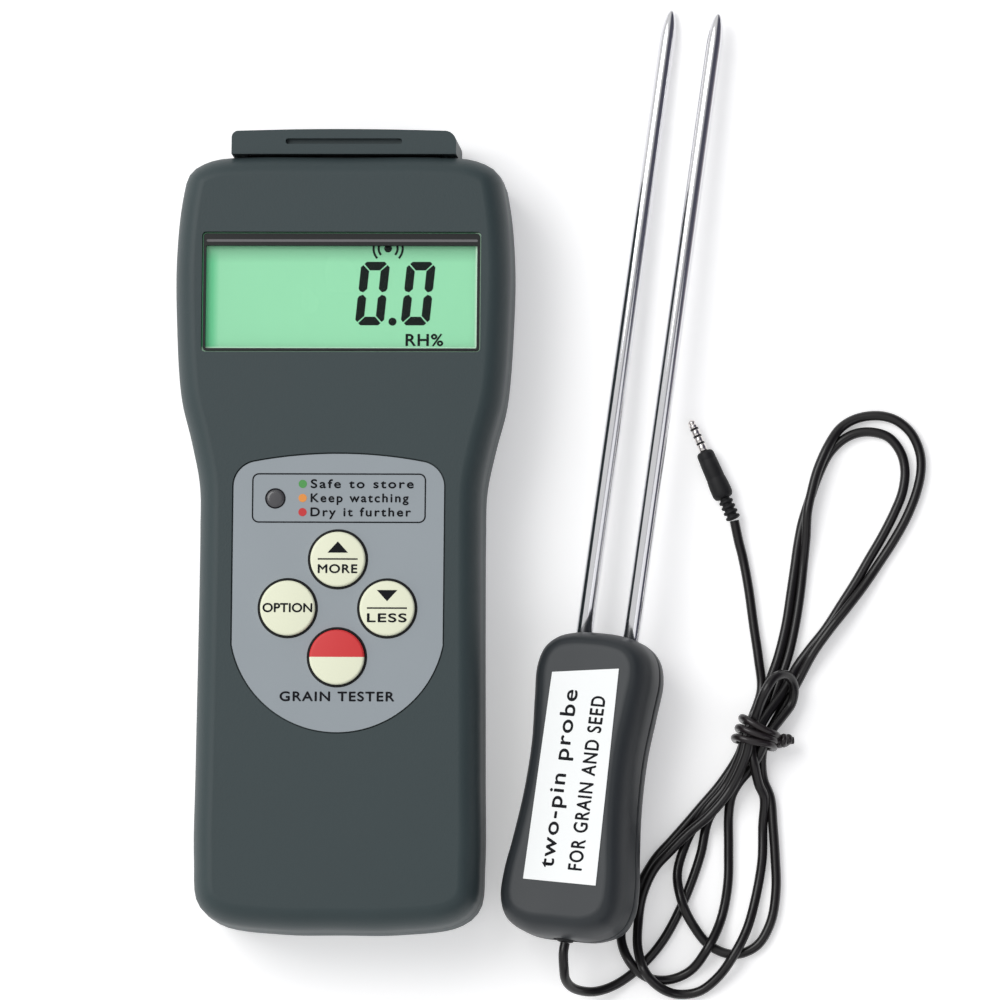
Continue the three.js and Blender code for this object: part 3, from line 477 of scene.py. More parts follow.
PRINT = SHEET_TOP + 0.02
box_line = [round_box((-17.8, 0.75), (17.9, 10.95), 1.4), round_box((-17.52, 1.03), (17.62, 10.67), 1.15)]
ink("indicator_line", box_line, PRINT, dark_ink)
for name, colour, words, width, baseline in (
    ("green", rgb(84, 155, 84), "Safe to store", 21.0, 7.95),
    ("orange", rgb(232, 150, 74), "Keep watching", 20.0, 5.05),
    ("red", rgb(200, 58, 60), "Dry it further", 20.5, 2.15),
):
    dot_ink = finish_of(f"{name}_ink", colour, 0.6, cloudy=0.05, tooth=0.0)
    ink(f"{name}_dot", [circle((-7.4, baseline + 0.8), 0.85, 32)], PRINT, dot_ink)
    lettering(f"{name}_words", words, (-5.7, baseline), width, 1.7, PRINT + 0.01, dark_ink, bold=0.07,
              spacing=1.25)
lettering("sheet_words", "GRAIN TESTER", (-11.6, -35.8), 23.4, 1.85, PRINT + 0.01, dark_ink, bold=0.08,
          spacing=1.15)

# Key mat: black rubber under the face sheet, with a collar that fills the gap round each key.
# The collar's black is the rubber's own colour and also painted shade for that gap.
rubber = finish_of("rubber", rgb(22, 23, 25), 0.7, tooth=0.02)
mat_plan = round_box((-17.5, -34.5), (17.5, 0), 3)
mat = add_piece("key_mat", *plate([mat_plan], 22.5, 23.8), rubber, "meter", "rubber")
stems = [drum(2.6, 20, 30, place, 32) for place in KEY_PLACES.values()]
cut_away(mat, *stems)
soften(mat, 0.15)
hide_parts("keypad_mat")
# Collars raised almost to the sheet's top: black rubber that is also painted shade in the gap round each key.
for name, place in KEY_PLACES.items():
    collar_and_gap_shade = [circle(place, radius, 72) for radius in (KEY_HOLE - 0.08, 5.8)]
    ring = add_piece(f"{name}_collar", *plate(collar_and_gap_shade, 23.7, 25.9), rubber, "meter", "rubber")
    soften(ring, 0.1)

# Keys: cream plastic caps with rounded rims, moulded with stems that press the switches. The lowest is the
# on-off key and is red in its upper half.
KEY_RADIUS = 5.65
KEY_TOP = 26.85
cream = finish_of("cream_cap", rgb(236, 239, 212), 0.42, cloudy=0.03, tooth=0.006)


def split_finish(name, upper, lower, border):
    """A two-colour finish whose colours meet on a line across at y = border mm."""
    material = finish_of(name, upper, 0.42, cloudy=0.03, tooth=0.006)
    nodes, links = material.node_tree.nodes, material.node_tree.links
    where = nodes.new("ShaderNodeTexCoord")
    parts = nodes.new("ShaderNodeSeparateXYZ")
    above = nodes.new("ShaderNodeMath")
    above.operation = "GREATER_THAN"
    above.inputs[1].default_value = border * MM
    choice = nodes.new("ShaderNodeMix")
    choice.data_type = "RGBA"
    choice.inputs["A"].default_value = lower
    links.new(where.outputs["Object"], parts.inputs["Vector"])
    links.new(parts.outputs["Y"], above.inputs[0])
    links.new(above.outputs["Value"], choice.inputs["Factor"])
    shade = nodes["Principled BSDF"].inputs["Base Color"].links[0].from_socket
    links.new(shade, choice.inputs["B"])
    links.new(choice.outputs["Result"], nodes["Principled BSDF"].inputs["Base Color"])
    return material


power_finish = split_finish("power_cap", rgb(212, 58, 60), rgb(236, 239, 212), KEY_PLACES["power"][1])
KEY_ROUND = 0.5
rim_angle = np.linspace(0, math.pi / 2, 7)
rim = np.stack([KEY_RADIUS - KEY_ROUND * (1 - np.cos(rim_angle)), KEY_TOP - KEY_ROUND * (1 - np.sin(rim_angle))],
               axis=1)
key_profile = [(0, 22.3), (2.2, 22.3), (2.2, 24.4), (KEY_RADIUS - 0.1, 24.4), (KEY_RADIUS, 24.5), *rim.tolist(),
               (0, KEY_TOP)]
for name, place in KEY_PLACES.items():
    finish, slot = (power_finish, "power_key") if name == "power" else (cream, "keys")
    turned = lathe(key_profile, place, 96)
    cap_piece = add_piece(f"{name}_cap", *turned, finish, f"{name}_key", slot, sharp=50)
    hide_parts(f"{name}_key")

KEY_PRINT = KEY_TOP + 0.02
for name, words, top_point, base in (("hold", "MORE", 3.6, 1.3), ("zero", "LESS", 1.4, 3.7)):
    x, y = KEY_PLACES[name]
    triangle = [(x - 2.1, y + base), (x + 2.1, y + base), (x, y + top_point)]
    mark = triangle if top_point > base else triangle[::-1]
    ink(f"{name}_mark", [mark], KEY_PRINT, dark_ink, f"{name}_key", "keys")
    line = [(x - 4.1, y - 0.15), (x + 4.1, y - 0.15), (x + 4.1, y + 0.15), (x - 4.1, y + 0.15)]
    ink(f"{name}_line", [line], KEY_PRINT, dark_ink, f"{name}_key", "keys")
    lettering(f"{name}_words", words, (x - 4.0, y - 2.85), 8.0, 1.7, KEY_PRINT + 0.01, dark_ink, f"{name}_key",
              "keys", 0.07, 1.1)
x, y = KEY_PLACES["select"]
lettering("select_words", "OPTION", (x - 5.05, y - 0.85), 10.1, 1.75, KEY_PRINT + 0.01, dark_ink, "select_key",
          "keys", 0.07, 1.0)

# Lamp window: a smoked plastic lens that stands a little proud of the sheet.
smoked = finish_of("smoked_lens", rgb(74, 74, 77), 0.22, cloudy=0.05, tooth=0.0, coat=0.4)
lens_profile = [(0, 22.6), (LAMP_RADIUS, 22.6), (LAMP_RADIUS, 25.85), (1.75, 26.02), (1.2, 26.08), (0, 26.1)]
lens = add_piece("lamp_window", *lathe(lens_profile, LAMP, 48), smoked, "meter", "lens", sharp=60)
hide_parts("status_lens")
lamp_edge = [circle(LAMP, radius, 48) for radius in (LAMP_RADIUS + 0.2, LAMP_RADIUS - 0.05)]
ink("lamp_edge", lamp_edge, 26.0, dark_ink)

# Display: a black surround whose top bar, wider than its sides, is partly painted shade for the recess's top
# wall, a thin grey strip on that bar that is a painted highlight of a lit edge, a green liquid crystal glass
# under it and a clear cover in the opening. The figures are dark segments on the glass.
surround_finish = finish_of("surround", rgb(20, 22, 23), 0.45, tooth=0.01)
half = DISPLAY_SIZE[0] / 2
low_edge, high_edge = DISPLAY_MIDDLE - DISPLAY_SIZE[1] / 2, DISPLAY_MIDDLE + DISPLAY_SIZE[1] / 2
# The top bar is TOP_BAR wide against FRAME_BAR at the other sides; its black is the frame's own colour and, over
# the extra width, painted shade for the recess's top wall.
surround_loops = [
    round_box((-half - FRAME_BAR, low_edge - FRAME_BAR), (half + FRAME_BAR, high_edge + TOP_BAR), 0.7),
    round_box((-half, low_edge), (half, high_edge), 0.25),
]
surround = add_piece("surround", *plate(surround_loops, 24.1, 25.45), surround_finish, "meter", "frame")
soften(surround, 0.2)
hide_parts("display_frame")
# A thin grey strip on the surround's top bar: a painted highlight of the lit edge there.
edge_highlight_finish = finish_of("edge_highlight", rgb(104, 103, 105), 0.4, tooth=0.0)
edge_highlight_plan = [round_box((-half + 0.1, high_edge + 0.75), (half + 0.1, high_edge + 1.25), 0.24)]
edge_highlight = add_piece("edge_highlight", *plate(edge_highlight_plan, 25.3, 25.5), edge_highlight_finish, "meter", "frame")
soften(edge_highlight, 0.08)


def glow_finish():
    """Green liquid crystal with its own light, with painted shade that makes it deeper at the left and top and
    painted light that makes it paler at the bottom and right.
    """
    material = finish_of("liquid_crystal", rgb(143, 213, 168), 0.25, cloudy=0.04, tooth=0.0, broad=30)
    nodes, links = material.node_tree.nodes, material.node_tree.links
    where = nodes.new("ShaderNodeTexCoord")
    parts = nodes.new("ShaderNodeSeparateXYZ")
    links.new(where.outputs["Object"], parts.inputs["Vector"])
    colour = nodes["Principled BSDF"].inputs["Base Color"].links[0].from_socket
    # Painted shade in dark bands along the left and top edges, painted light in pale bands along the bottom and
    # right edges.
    for axis, start, stop, painted_shading_tint in (
        ("X", -25.2, -26.6, rgb(98, 196, 140)),
        ("Y", 54.6, 58.0, rgb(112, 172, 134)),
        ("Y", 37.35, 37.0, rgb(190, 236, 204)),
        ("X", 27.3, 27.7, rgb(190, 226, 200)),
    ):
        band = nodes.new("ShaderNodeMapRange")
        band.inputs["From Min"].default_value = start * MM
        band.inputs["From Max"].default_value = stop * MM
        blend = nodes.new("ShaderNodeMix")
        blend.data_type = "RGBA"
        blend.inputs["B"].default_value = painted_shading_tint
        links.new(parts.outputs[axis], band.inputs["Value"])
        links.new(band.outputs["Result"], blend.inputs["Factor"])
        links.new(colour, blend.inputs["A"])
        colour = blend.outputs["Result"]
    links.new(colour, nodes["Principled BSDF"].inputs["Base Color"])
    links.new(colour, nodes["Principled BSDF"].inputs["Emission Color"])
    nodes["Principled BSDF"].inputs["Emission Strength"].default_value = 0.25
    return material


GLASS_TOP = 24.0
glass_block = plate([round_box((-29.5, 35.4), (29.5, 62.4), 0.4)], 22.9, GLASS_TOP)
glass = add_piece("display_sheet", *glass_block, glow_finish(), "meter", "display")
soften(glass, 0.1)
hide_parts("display_glass")
segment_ink = finish_of("segment_ink", rgb(8, 18, 16), 0.5, cloudy=0.1, tooth=0.0, gloss=0.1)
DIGIT = (5.9, 13.1)
STROKE = 1.75
SLANT = math.tan(math.radians(5.5))


def digit_segments(x, y, skip="g"):
    """The segments of a slanted seven-segment figure with its lower left corner at (x, y), less the skipped."""
    width, tall = DIGIT
    gap, chamfer, middle = 0.17, 0.95, tall / 2
    inner = tall - STROKE
    top = [(chamfer + gap, tall), (width - chamfer - gap, tall), (width - 0.5 - gap, tall - 0.45),
           (width - STROKE - gap, inner), (STROKE + gap, inner), (0.5 + gap, tall - 0.45)][::-1]
    upper_left = [(0, tall - chamfer - gap), (0.45, tall - 0.5 - gap), (STROKE, inner - gap),
                  (STROKE, middle + 0.95), (STROKE / 2 + 0.15, middle + 0.25), (0.3, middle + 0.5),
                  (0, middle + 1.0)]
    cross = [(STROKE, middle + 0.8), (width - STROKE, middle + 0.8), (width - 0.7, middle),
             (width - STROKE, middle - 0.8), (STROKE, middle - 0.8), (0.7, middle)]
    flip_x = lambda shape: [(width - a, b) for a, b in shape][::-1]
    flip_y = lambda shape: [(a, tall - b) for a, b in shape][::-1]
    shapes = {"a": top, "f": upper_left, "b": flip_x(upper_left), "g": cross, "d": flip_y(top),
              "e": flip_y(upper_left), "c": flip_x(flip_y(upper_left))}
    kept = [shape for key, shape in shapes.items() if key not in skip]
    return [[(x + a + b * SLANT, y + b) for a, b in shape] for shape in kept]


SEGMENT_LOW = GLASS_TOP + 0.03
for index, x in enumerate((2.75, 12.15)):
    for number, shape in enumerate(digit_segments(x, 41.7)):
        ink(f"figure_{index + 1}_{number + 1}", [shape], SEGMENT_LOW, segment_ink, slot="display", thick=0.03)
ink("figure_point", [circle((10.5, 42.45), 0.82, 32)], SEGMENT_LOW, segment_ink, slot="display", thick=0.03)
lettering("unit_words", "RH%", (13.3, 37.5), 7.6, 2.35, SEGMENT_LOW + 0.03, segment_ink, slot="display",
          bold=0.08)
signal = (9.45, 57.55)
ink("signal_point", [circle(signal, 0.8, 32)], SEGMENT_LOW, segment_ink, slot="display", thick=0.03)
for index, (radius, side) in enumerate(((1.95, 0), (1.95, 180), (3.0, 0), (3.0, 180))):
    outer_edge = arc(signal, radius + 0.22, side - 42, side + 42, 14)
    inner_edge = arc(signal, radius - 0.22, side + 42, side - 42, 14)
    bend = np.vstack([outer_edge, inner_edge])
    ink(f"signal_arc_{index + 1}", [bend], SEGMENT_LOW, segment_ink, slot="display", thick=0.03)

clear_cover = finish_of("clear_cover", (0.1, 0.14, 0.12, 1.0), 0.08, tooth=0.0)
clear_cover.node_tree.nodes["Principled BSDF"].inputs["Alpha"].default_value = 0.03
cover_plan = [round_box((-half + GAP, low_edge + GAP), (half - GAP, high_edge - GAP), 0.3)]
cover = add_piece("display_cover", *plate(cover_plan, 24.3, 25.1), clear_cover, "meter", "window")
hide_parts("display_window")

# Screws: plated steel with a cross recess, deep in their wells in the back.
steel = finish_of("screw_steel", (0.42, 0.42, 0.43, 1), 0.32, tooth=0.01, metal=1.0)


def screw(name, place, head_low, head_high, tip, node, body):
    """A screw driven upwards: a domed head with a cross cut into its underside, and its shank."""
    x, y = place
    profile = [(0, head_low), (1.7, head_low + 0.06), (2.02, head_low + 0.22), (2.1, head_low + 0.5),
               (2.1, head_high), (1.2, head_high), (1.2, tip - 0.6), (0.4, tip), (0, tip)]
    piece = add_piece(name, *lathe(profile, place, 40), steel, body, "screw")
    cut_away(
        piece,
        block((x - 1.4, y - 0.26, head_low - 1), (x + 1.4, y + 0.26, head_low + 1.1)),
        block((x - 0.26, y - 1.4, head_low - 1), (x + 0.26, y + 1.4, head_low + 1.1)),
    )
    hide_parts(node)
    return piece


for index, place in enumerate(SCREWS):
    screw(f"case_screw_steel_{index + 1}", place, 0.9, 2.9, 21, f"case_screw_{index + 1}", "meter")

# Works inside the casing: the board and what it carries, the socket, the cells and their spring strips.
board_finish = finish_of("board", rgb(38, 96, 60), 0.5, cloudy=0.15, tooth=0.01, broad=260)
chip_finish = finish_of("chip", rgb(28, 28, 31), 0.5, tooth=0.01)
spring_finish = finish_of("spring_strip", rgb(196, 178, 128), 0.3, tooth=0.01, metal=1.0)
light_finish = finish_of("light_guide", rgb(238, 240, 238), 0.5, cloudy=0.03, tooth=0.005)
socket_finish = finish_of("socket", rgb(24, 25, 27), 0.55, tooth=0.015)
cell_finish = split_finish("cell_wrap", rgb(176, 122, 62), rgb(30, 32, 36), -37)
for finish, names in {
    board_finish: ("main_board", "terminal_board"),
    chip_finish: ("control_chip", "buzzer", "hold_switch", "select_switch", "zero_switch", "power_switch"),
    spring_finish: ("battery_contact_upper", "battery_contact_lower"),
    light_finish: ("backlight_panel", "status_lamp", "pin_clamp"),
    socket_finish: ("probe_socket", "display_connector"),
    cell_finish: ("battery_1", "battery_2", "battery_3", "battery_4"),
    steel: ("board_screw_1", "board_screw_2", "clamp_screw_left", "clamp_screw_right"),
}.items():
    for name in names:
        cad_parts[name].material_slots[0].material = finish

# Probe handle: two waisted shells moulded in dark grey plastic, screwed together from the back. The probe is
# built lying along y with its face up, and then laid down at its angle beside the meter.
PROBE_TOP = Vector((54.4, -21, 9.65)) * MM
PROBE_TURN, PROBE_DROP, PROBE_ROLL = math.radians(-7.25), math.radians(-3), math.radians(-16)
PROBE_SEAT = (Matrix.Translation(PROBE_TOP) @ Matrix.Rotation(PROBE_TURN, 4, "Z")
              @ Matrix.Rotation(PROBE_DROP, 4, "X") @ Matrix.Rotation(PROBE_ROLL, 4, "Y"))
HANDLE_SIDE = [
    (0, 0.2), (5, -0.1), (8.8, -1.3), (11.4, -3.8), (12.6, -8), (12.2, -15), (11.5, -24), (11.7, -34),
    (12.7, -44), (13.6, -51), (13.5, -56.5), (11.6, -60.6), (7, -62.9), (0, -63.2),
]
HANDLE_FRONT = 9.5
HANDLE_BACK = -8.3
HANDLE_SCREWS = (-36, -53)
PIN_SPREAD = 5.15
PIN_RADIUS = 1.7
LONGWAYS = Matrix.Rotation(math.radians(-90), 4, "X")
handle_finish = finish_of("handle", rgb(47, 51, 54), 0.42, cloudy=0.06, tooth=0.012, fine=3200)


def laid(part, seat=LONGWAYS):
    """The same (vertices, faces) moved by a matrix. By default an upright axis comes to lie along y."""
    vertices, faces = part
    turn = np.array(seat)
    return vertices @ turn[:3, :3].T + turn[:3, 3], faces


def seat_probe(piece):
    """Moves a piece from the probe's own frame to where the probe lies."""
    piece.data.transform(PROBE_SEAT)
    return piece


front_curve = smooth_path([(0.05, 3), (0.25, 5), (0.95, 7.2), (2.1, 8.8), (3.4, 9.4)], 4)
front_levels = np.vstack([[(0.35, 0.1), (0.1, 0.2), (0, 0.5)], front_curve, [(4.2, HANDLE_FRONT)]])
back_curve = smooth_path([(5.4, -8.2), (2.8, -7.2), (1, -5.1), (0.2, -2.8), (0, -0.9)], 4)
back_levels = np.vstack([[(6.4, HANDLE_BACK)], back_curve, [(0, -0.5), (0.1, -0.2), (0.35, -0.1)]])
front_hollow = stacked(HANDLE_SIDE, 80, [(2.4, -1), (2.6, 4.4), (4, 6.2), (5.8, 7.4)])
back_hollow = stacked(HANDLE_SIDE, 80, [(6.8, -6.2), (4, -4.6), (2.6, -2), (2.4, 1)])
pin_holes = [laid(drum(PIN_RADIUS + 0.12, -6, 3, (side * PIN_SPREAD, 0), 48)) for side in (-1, 1)]
gland_hole = laid(drum(2.5, -66, -58, sides=40))
wells = [drum(2.4, -11, -5.2, (0, y), 40) for y in HANDLE_SCREWS]
for name, levels, tools in (
    ("handle_front", front_levels, (front_hollow, *pin_holes, gland_hole)),
    ("handle_back", back_levels, (back_hollow, *pin_holes, gland_hole, *wells)),
):
    shell = add_piece(name, *stacked(HANDLE_SIDE, 200, levels), handle_finish, "probe", "grip")
    cut_away(shell, *tools)
    seat_probe(shell)
    soften(shell, 0.15)
    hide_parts("handle_front_shell" if name == "handle_front" else "handle_rear_shell")
for index, y in enumerate(HANDLE_SCREWS):
    node = ("handle_screw_upper", "handle_screw_lower")[index]
    seat_probe(screw(f"handle_screw_steel_{index + 1}", (0, y), -8, -5.6, 5.6, node, "probe"))

# Label: white paper on the handle's face, printed with two lines that read towards the pins.
LABEL_LOW = HANDLE_FRONT + 0.05
paper = finish_of("label_paper", rgb(250, 253, 252), 0.62, cloudy=0.03, tooth=0.01, fine=1800)
label_plan = smooth_path([(-7.4, -9.6), (-7.4, -52.6), (8.4, -52.6), (6.9, -7.7)], 1, closed=True)
label = add_piece("handle_label", *plate([label_plan], LABEL_LOW, LABEL_LOW + 0.15), paper, "probe", "label")
seat_probe(label)
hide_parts("probe_label")
TOWARDS_PINS = Matrix.Rotation(math.radians(90), 4, "Z")
for name, words, baseline, cap, start, length in (
    ("label_words_1", "two-pin probe", 1.3, 3.1, -49.8, 36.8),
    ("label_words_2", "FOR GRAIN AND SEED", -4.9, 2.9, -49.8, 36.0),
):
    line = lettering(name, words, (start, baseline), length, cap, LABEL_LOW + 0.17, dark_ink, "probe", "label",
                     0.08, 1.15)
    line.data.transform(TOWARDS_PINS)
    seat_probe(line)

# Pins: two polished steel rods with tapered points, clamped in the handle.
PIN_LENGTH = 132
polished = finish_of("polished_steel", (0.72, 0.72, 0.74, 1), 0.13, cloudy=0.03, shine=0.03, tooth=0.0,
                     metal=1.0)
pin_profile = [(0, -13), (PIN_RADIUS - 0.2, -13), (PIN_RADIUS, -12.8), (PIN_RADIUS, 125), (1.66, 126.2),
               (1.52, 127.8), (1.28, 129.3), (0.92, 130.7), (0.55, 131.5), (0.25, 131.9), (0, PIN_LENGTH)]
for name, side in (("left", -1), ("right", 1)):
    rod = laid(lathe(pin_profile, (side * PIN_SPREAD, 0), 64))
    pin = seat_probe(add_piece(f"pin_{name}_steel", *rod, polished, "probe", "pin", sharp=60))
    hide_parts(f"pin_{name}")

# Gland: a tapered rubber sleeve that the lead leaves the handle through.
gland_profile = [(0, -63.6), (1.35, -63.6), (1.6, -63.5), (1.9, -63.2), (2.3, -62.8), (2.4, -62.4),
                 (2.4, -58.6), (0, -58.6)]
gland = seat_probe(add_piece("gland", *laid(lathe(gland_profile, (0, 0), 48)), rubber, "probe", "rubber"))
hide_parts("cord_gland")

# Lead: black flexible wire, looped back and forth and tied, lying on the table from the gland to the plug.
LEAD_DIAMETER = 2
LEAD_ROUTE = [
    # out of the gland
    (46.4, -84.2, 13), (46.1, -86.2, 13.1),
    # round the handle and up to the tie
    (46.2, -89.4, 12.4), (46.4, -91.4, 10.7), (47.4, -92.8, 8.3), (49.3, -93.5, 5.8), (52.2, -93.5, 3.5),
    (55.8, -92.2, 1.9), (59.5, -89.7, 1.2), (63.2, -86.2, 1.2), (66.1, -82.4, 1.2), (68.9, -77.2, 1.2),
    (71.5, -71, 1.2), (73.5, -64.8, 1.2), (75.1, -57.6, 1.2), (79.2, -51.9, 1.2), (82.8, -47.4, 1.4),
    # through the tie
    (83.9, -43.5, 2.7), (84.9, -40.7, 2.8), (86, -37.9, 2.7),
    # outer upper loop
    (87.5, -34.3, 1.6), (89.2, -29.7, 1.2), (91.2, -23.9, 1.2), (92.6, -17.5, 1.2), (93.6, -10.7, 1.2),
    (94.2, -4.7, 1.4), (94.7, 0.4, 2.2), (95, 5.5, 3), (95.8, 9.6, 3.1), (97, 14.2, 3.1),
    (99.2, 19.4, 2.6), (101.7, 23.2, 1.6), (105, 25.2, 1.2), (109.5, 25.8, 1.2), (113.2, 24.8, 1.2),
    (116.2, 22.2, 1.2), (118, 18.3, 1.2), (118.3, 14.6, 1.2), (117.4, 10, 1.2), (115.4, 4.8, 1.2),
    (112.8, 0, 1.2), (109.8, -4.7, 1.2), (106.6, -9.6, 1.8), (103, -14.5, 2.6), (99.6, -18.9, 3.1),
    (96.3, -23.6, 2.8), (93.1, -29.5, 1.7),
    # back through the tie
    (88.8, -37.3, 2.3), (87.4, -40, 2.8), (86.2, -43.3, 2.7),
    # short lower loop
    (85.9, -46.4, 1.9), (86.3, -49.7, 1.2), (87.7, -53.3, 1.2), (88.3, -59.1, 1.2), (88.8, -65.7, 1.2),
    (89, -72.3, 1.2), (87.9, -79.1, 1.2), (85, -83.9, 1.2), (80.3, -85.6, 1.2), (75.5, -83.8, 1.2),
    (72, -79.6, 1.9), (69.8, -75, 3.2), (68.7, -69.2, 1.6), (70, -63.8, 1.2), (72, -59.4, 1.2),
    (74.3, -56.2, 2.4), (78.4, -51.3, 3),
    # through the tie, on top
    (81.8, -44.4, 4.4), (82.6, -40.9, 4.9), (84.1, -37.2, 4.7),
    # inner upper loop
    (85.7, -35, 3.7), (87.3, -29.9, 2.5), (89.2, -24, 1.5), (90.7, -17.5, 1.2), (91.7, -10.7, 1.2),
    (92.4, -5.7, 1.2), (93, -1.2, 1.2), (93.9, 3.6, 1.2), (95.5, 8.8, 1.2), (97.3, 13.9, 1.2),
    (99.3, 17.9, 1.2), (101.9, 20.6, 1.2), (104.8, 22.1, 1.2), (108.1, 22.4, 1.2), (111.6, 21.3, 1.2),
    (114.1, 18.2, 1.2), (115, 14.5, 1.2), (114.5, 10, 1.2), (112.8, 5.6, 1.2), (110.3, 0.6, 1.2),
    (107.7, -3.9, 1.2), (105.1, -8.5, 1.2), (102.1, -13.3, 1.2), (98.8, -18.5, 1.2), (95.6, -22.6, 1.2),
    (92.9, -26.4, 1.3), (90.6, -31.1, 2.6),
    # back through the tie
    (86.9, -36.6, 4.2), (85.3, -39.8, 4.9), (84, -43.6, 5.2),
    # long lower loop, over the others
    (84.6, -47, 5.2), (85.4, -50.7, 4), (86.5, -53.4, 2.4), (86.2, -59.1, 1.2), (86.1, -66.1, 1.2),
    (84.9, -73.6, 1.2), (83.2, -80.3, 2.4), (80.8, -85.4, 3.2), (77.3, -90.3, 2.2), (73.2, -93.3, 1.2),
    (68.6, -93.8, 1.4), (65.1, -92.4, 3.6), (62.4, -89.5, 4.8), (60.8, -84.7, 3), (60.7, -79.2, 1.2),
    (61.5, -73.8, 1.6), (63.9, -68.3, 2.4), (67.2, -64.6, 3), (70.9, -60.9, 3.5), (75.3, -57.2, 4.4),
    (79.4, -52.2, 4.8),
    # through the tie, on top
    (82.8, -45.2, 6.3), (83.7, -41.3, 7), (84.9, -37, 7.9),
    # turn back, lying on the bundle
    (87, -32, 10.7), (88.9, -29.2, 9.8), (91.2, -28.5, 7.1), (92.5, -30.5, 4.5), (92.1, -33.8, 3.3),
    # back through the tie
    (90, -37, 3.9), (88, -39.7, 4.6), (86.6, -42.2, 4.8), (85.3, -44.9, 4.1),
    # last lower loop, under the edge of the handle
    (83.7, -47.5, 3.1), (81.5, -50.1, 3.1), (79.9, -52.9, 2.8), (79.2, -56.5, 1.6), (79.2, -63.7, 1.2),
    (79.1, -71, 1.2), (77.8, -78.2, 1.2), (75.3, -84.2, 3.1), (71.5, -89, 1.2), (67, -90.9, 1.2),
    (62.7, -90.5, 2.8), (59.2, -87.4, 2.9), (57.2, -82.1, 1.4), (58.4, -76.7, 1.2), (61, -71.3, 1.2),
    (64.2, -65.9, 1.2), (67.3, -62.4, 1.2), (70.2, -59.1, 1.2), (73.4, -55.3, 1.2), (77.5, -50.4, 1.2),
    # through the tie
    (81.2, -44.7, 2.2), (82.6, -40.9, 2.8), (83.9, -37.1, 2.6),
    # up to the plug
    (85.7, -31, 1.2), (85.1, -24.8, 1.2), (84, -17.6, 1.2), (82.9, -10, 1.2), (81.7, -3.8, 1.2),
    (80.8, -0.3, 1.5),
    (79.9, 3.9, 2.1),
]
jacket = finish_of("lead_jacket", rgb(19, 17, 18), 0.34, cloudy=0.15, shine=0.06, tooth=0.008, coat=0.25)


def tube(path, radius, sides=16, closed=False):
    """A round tube along a path in metres: each ring is carried on from the last with the least twist."""
    line = np.asarray(path, float)
    along = np.roll(line, -1, 0) - np.roll(line, 1, 0) if closed else np.gradient(line, axis=0)
    along /= np.linalg.norm(along, axis=1, keepdims=True)
    side = np.cross(along[0], (0, 0, 1) if abs(along[0][2]) < 0.8 else (1, 0, 0))
    angle = np.arange(sides) * 2 * math.pi / sides
    rings = []
    for spot, ahead, size in zip(line, along, np.broadcast_to(radius, len(line))):
        side = side - ahead * np.dot(side, ahead)
        side /= np.linalg.norm(side)
        upward = np.cross(ahead, side)
        rings.append(spot + size * (np.cos(angle)[:, None] * side + np.sin(angle)[:, None] * upward))
    quads = skin(len(line), sides)[:, ::-1].tolist()
    start, last = np.arange(sides), np.arange(sides) + (len(line) - 1) * sides
    if closed:
        after = np.roll(start, -1)
        quads += np.stack([last, start, after, np.roll(last, -1)], axis=1).tolist()
    else:
        quads += [start.tolist(), last[::-1].tolist()]
    return np.vstack(rings), quads


lead_line = smooth_path(LEAD_ROUTE, 7) * MM
lead = add_piece("lead_jacket", *tube(lead_line, LEAD_DIAMETER / 2 * MM), jacket, "probe", "lead", sharp=60)
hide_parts("lead")

# Tie: three turns of black wire round the bundle of loops, their ends twisted together at its right side.
TIE_SEAT = Matrix.Translation(Vector((84.9, -40.7, 5.2)) * MM) @ Matrix.Rotation(math.radians(-20), 4, "Z")
tie_finish = finish_of("tie_wire", rgb(30, 25, 27), 0.3, cloudy=0.2, tooth=0.01, coat=0.3)
for index, (along, lean) in enumerate(((1.7, -0.65), (0.05, 0.05), (-1.6, 0.7))):
    turn = np.linspace(0, 2 * math.pi, 72, endpoint=False)
    across = 0.15 + 4.15 * np.sign(np.cos(turn)) * np.abs(np.cos(turn)) ** 0.75
    height = 4.2 * np.sign(np.sin(turn)) * np.abs(np.sin(turn)) ** 0.75
    ring = np.stack([across, along + lean * across / 5 + 0.12 * np.sin(3 * turn), height], axis=1) * MM
    winding = laid(tube(ring, 0.75 * MM, 14, closed=True), TIE_SEAT)
    add_piece(f"tie_turn_{index + 1}", *winding, tie_finish, "probe", "rubber", sharp=60)
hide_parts("lead_tie")
for index, offset in enumerate((0, math.pi)):
    run = np.linspace(0, 1, 40)
    coil = offset + run * 3.2 * math.pi
    reach = 0.85 * np.sin(np.pi * np.clip(run * 1.15, 0, 1)) + 0.1
    knot = np.stack([4.3 + 3.0 * run + 0.2 * np.cos(coil), 0.2 + 1.4 * run + reach * np.cos(coil),
                     0.4 - 1.6 * run + reach * np.sin(coil)], axis=1) * MM
    end = laid(tube(knot, 0.78 * MM, 14), TIE_SEAT)
    add_piece(f"tie_end_{index + 1}", *end, tie_finish, "probe", "rubber", sharp=60)

# Plug: a four-pole jack plug with a moulded body, a ribbed relief where the lead enters, and plated contacts.
PLUG_END = Vector((79.9, 3.9, 2.15)) * MM
PLUG_TURN = math.radians(23.9)
PLUG_SEAT = Matrix.Translation(PLUG_END) @ Matrix.Rotation(PLUG_TURN, 4, "Z") @ LONGWAYS
CONTACT = 0.9
BANDS = (17.3, 18.9, 20.5)
BAND = 0.3
PLUG_LENGTH = 22.8
plug_finish = finish_of("plug_body", rgb(25, 25, 27), 0.6, tooth=0.02)
plated = finish_of("plated_contact", (0.78, 0.74, 0.72, 1), 0.16, cloudy=0.05, tooth=0.0, metal=1.0)


def plug_piece(name, profile, finish, slot, *nodes):
    """A turned piece of the plug. Its profile's heights run from the relief's end to the tip."""
    piece = add_piece(name, *laid(lathe(profile, (0, 0), 48), PLUG_SEAT), finish, "probe", slot, sharp=50)
    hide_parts(*nodes)
    return piece


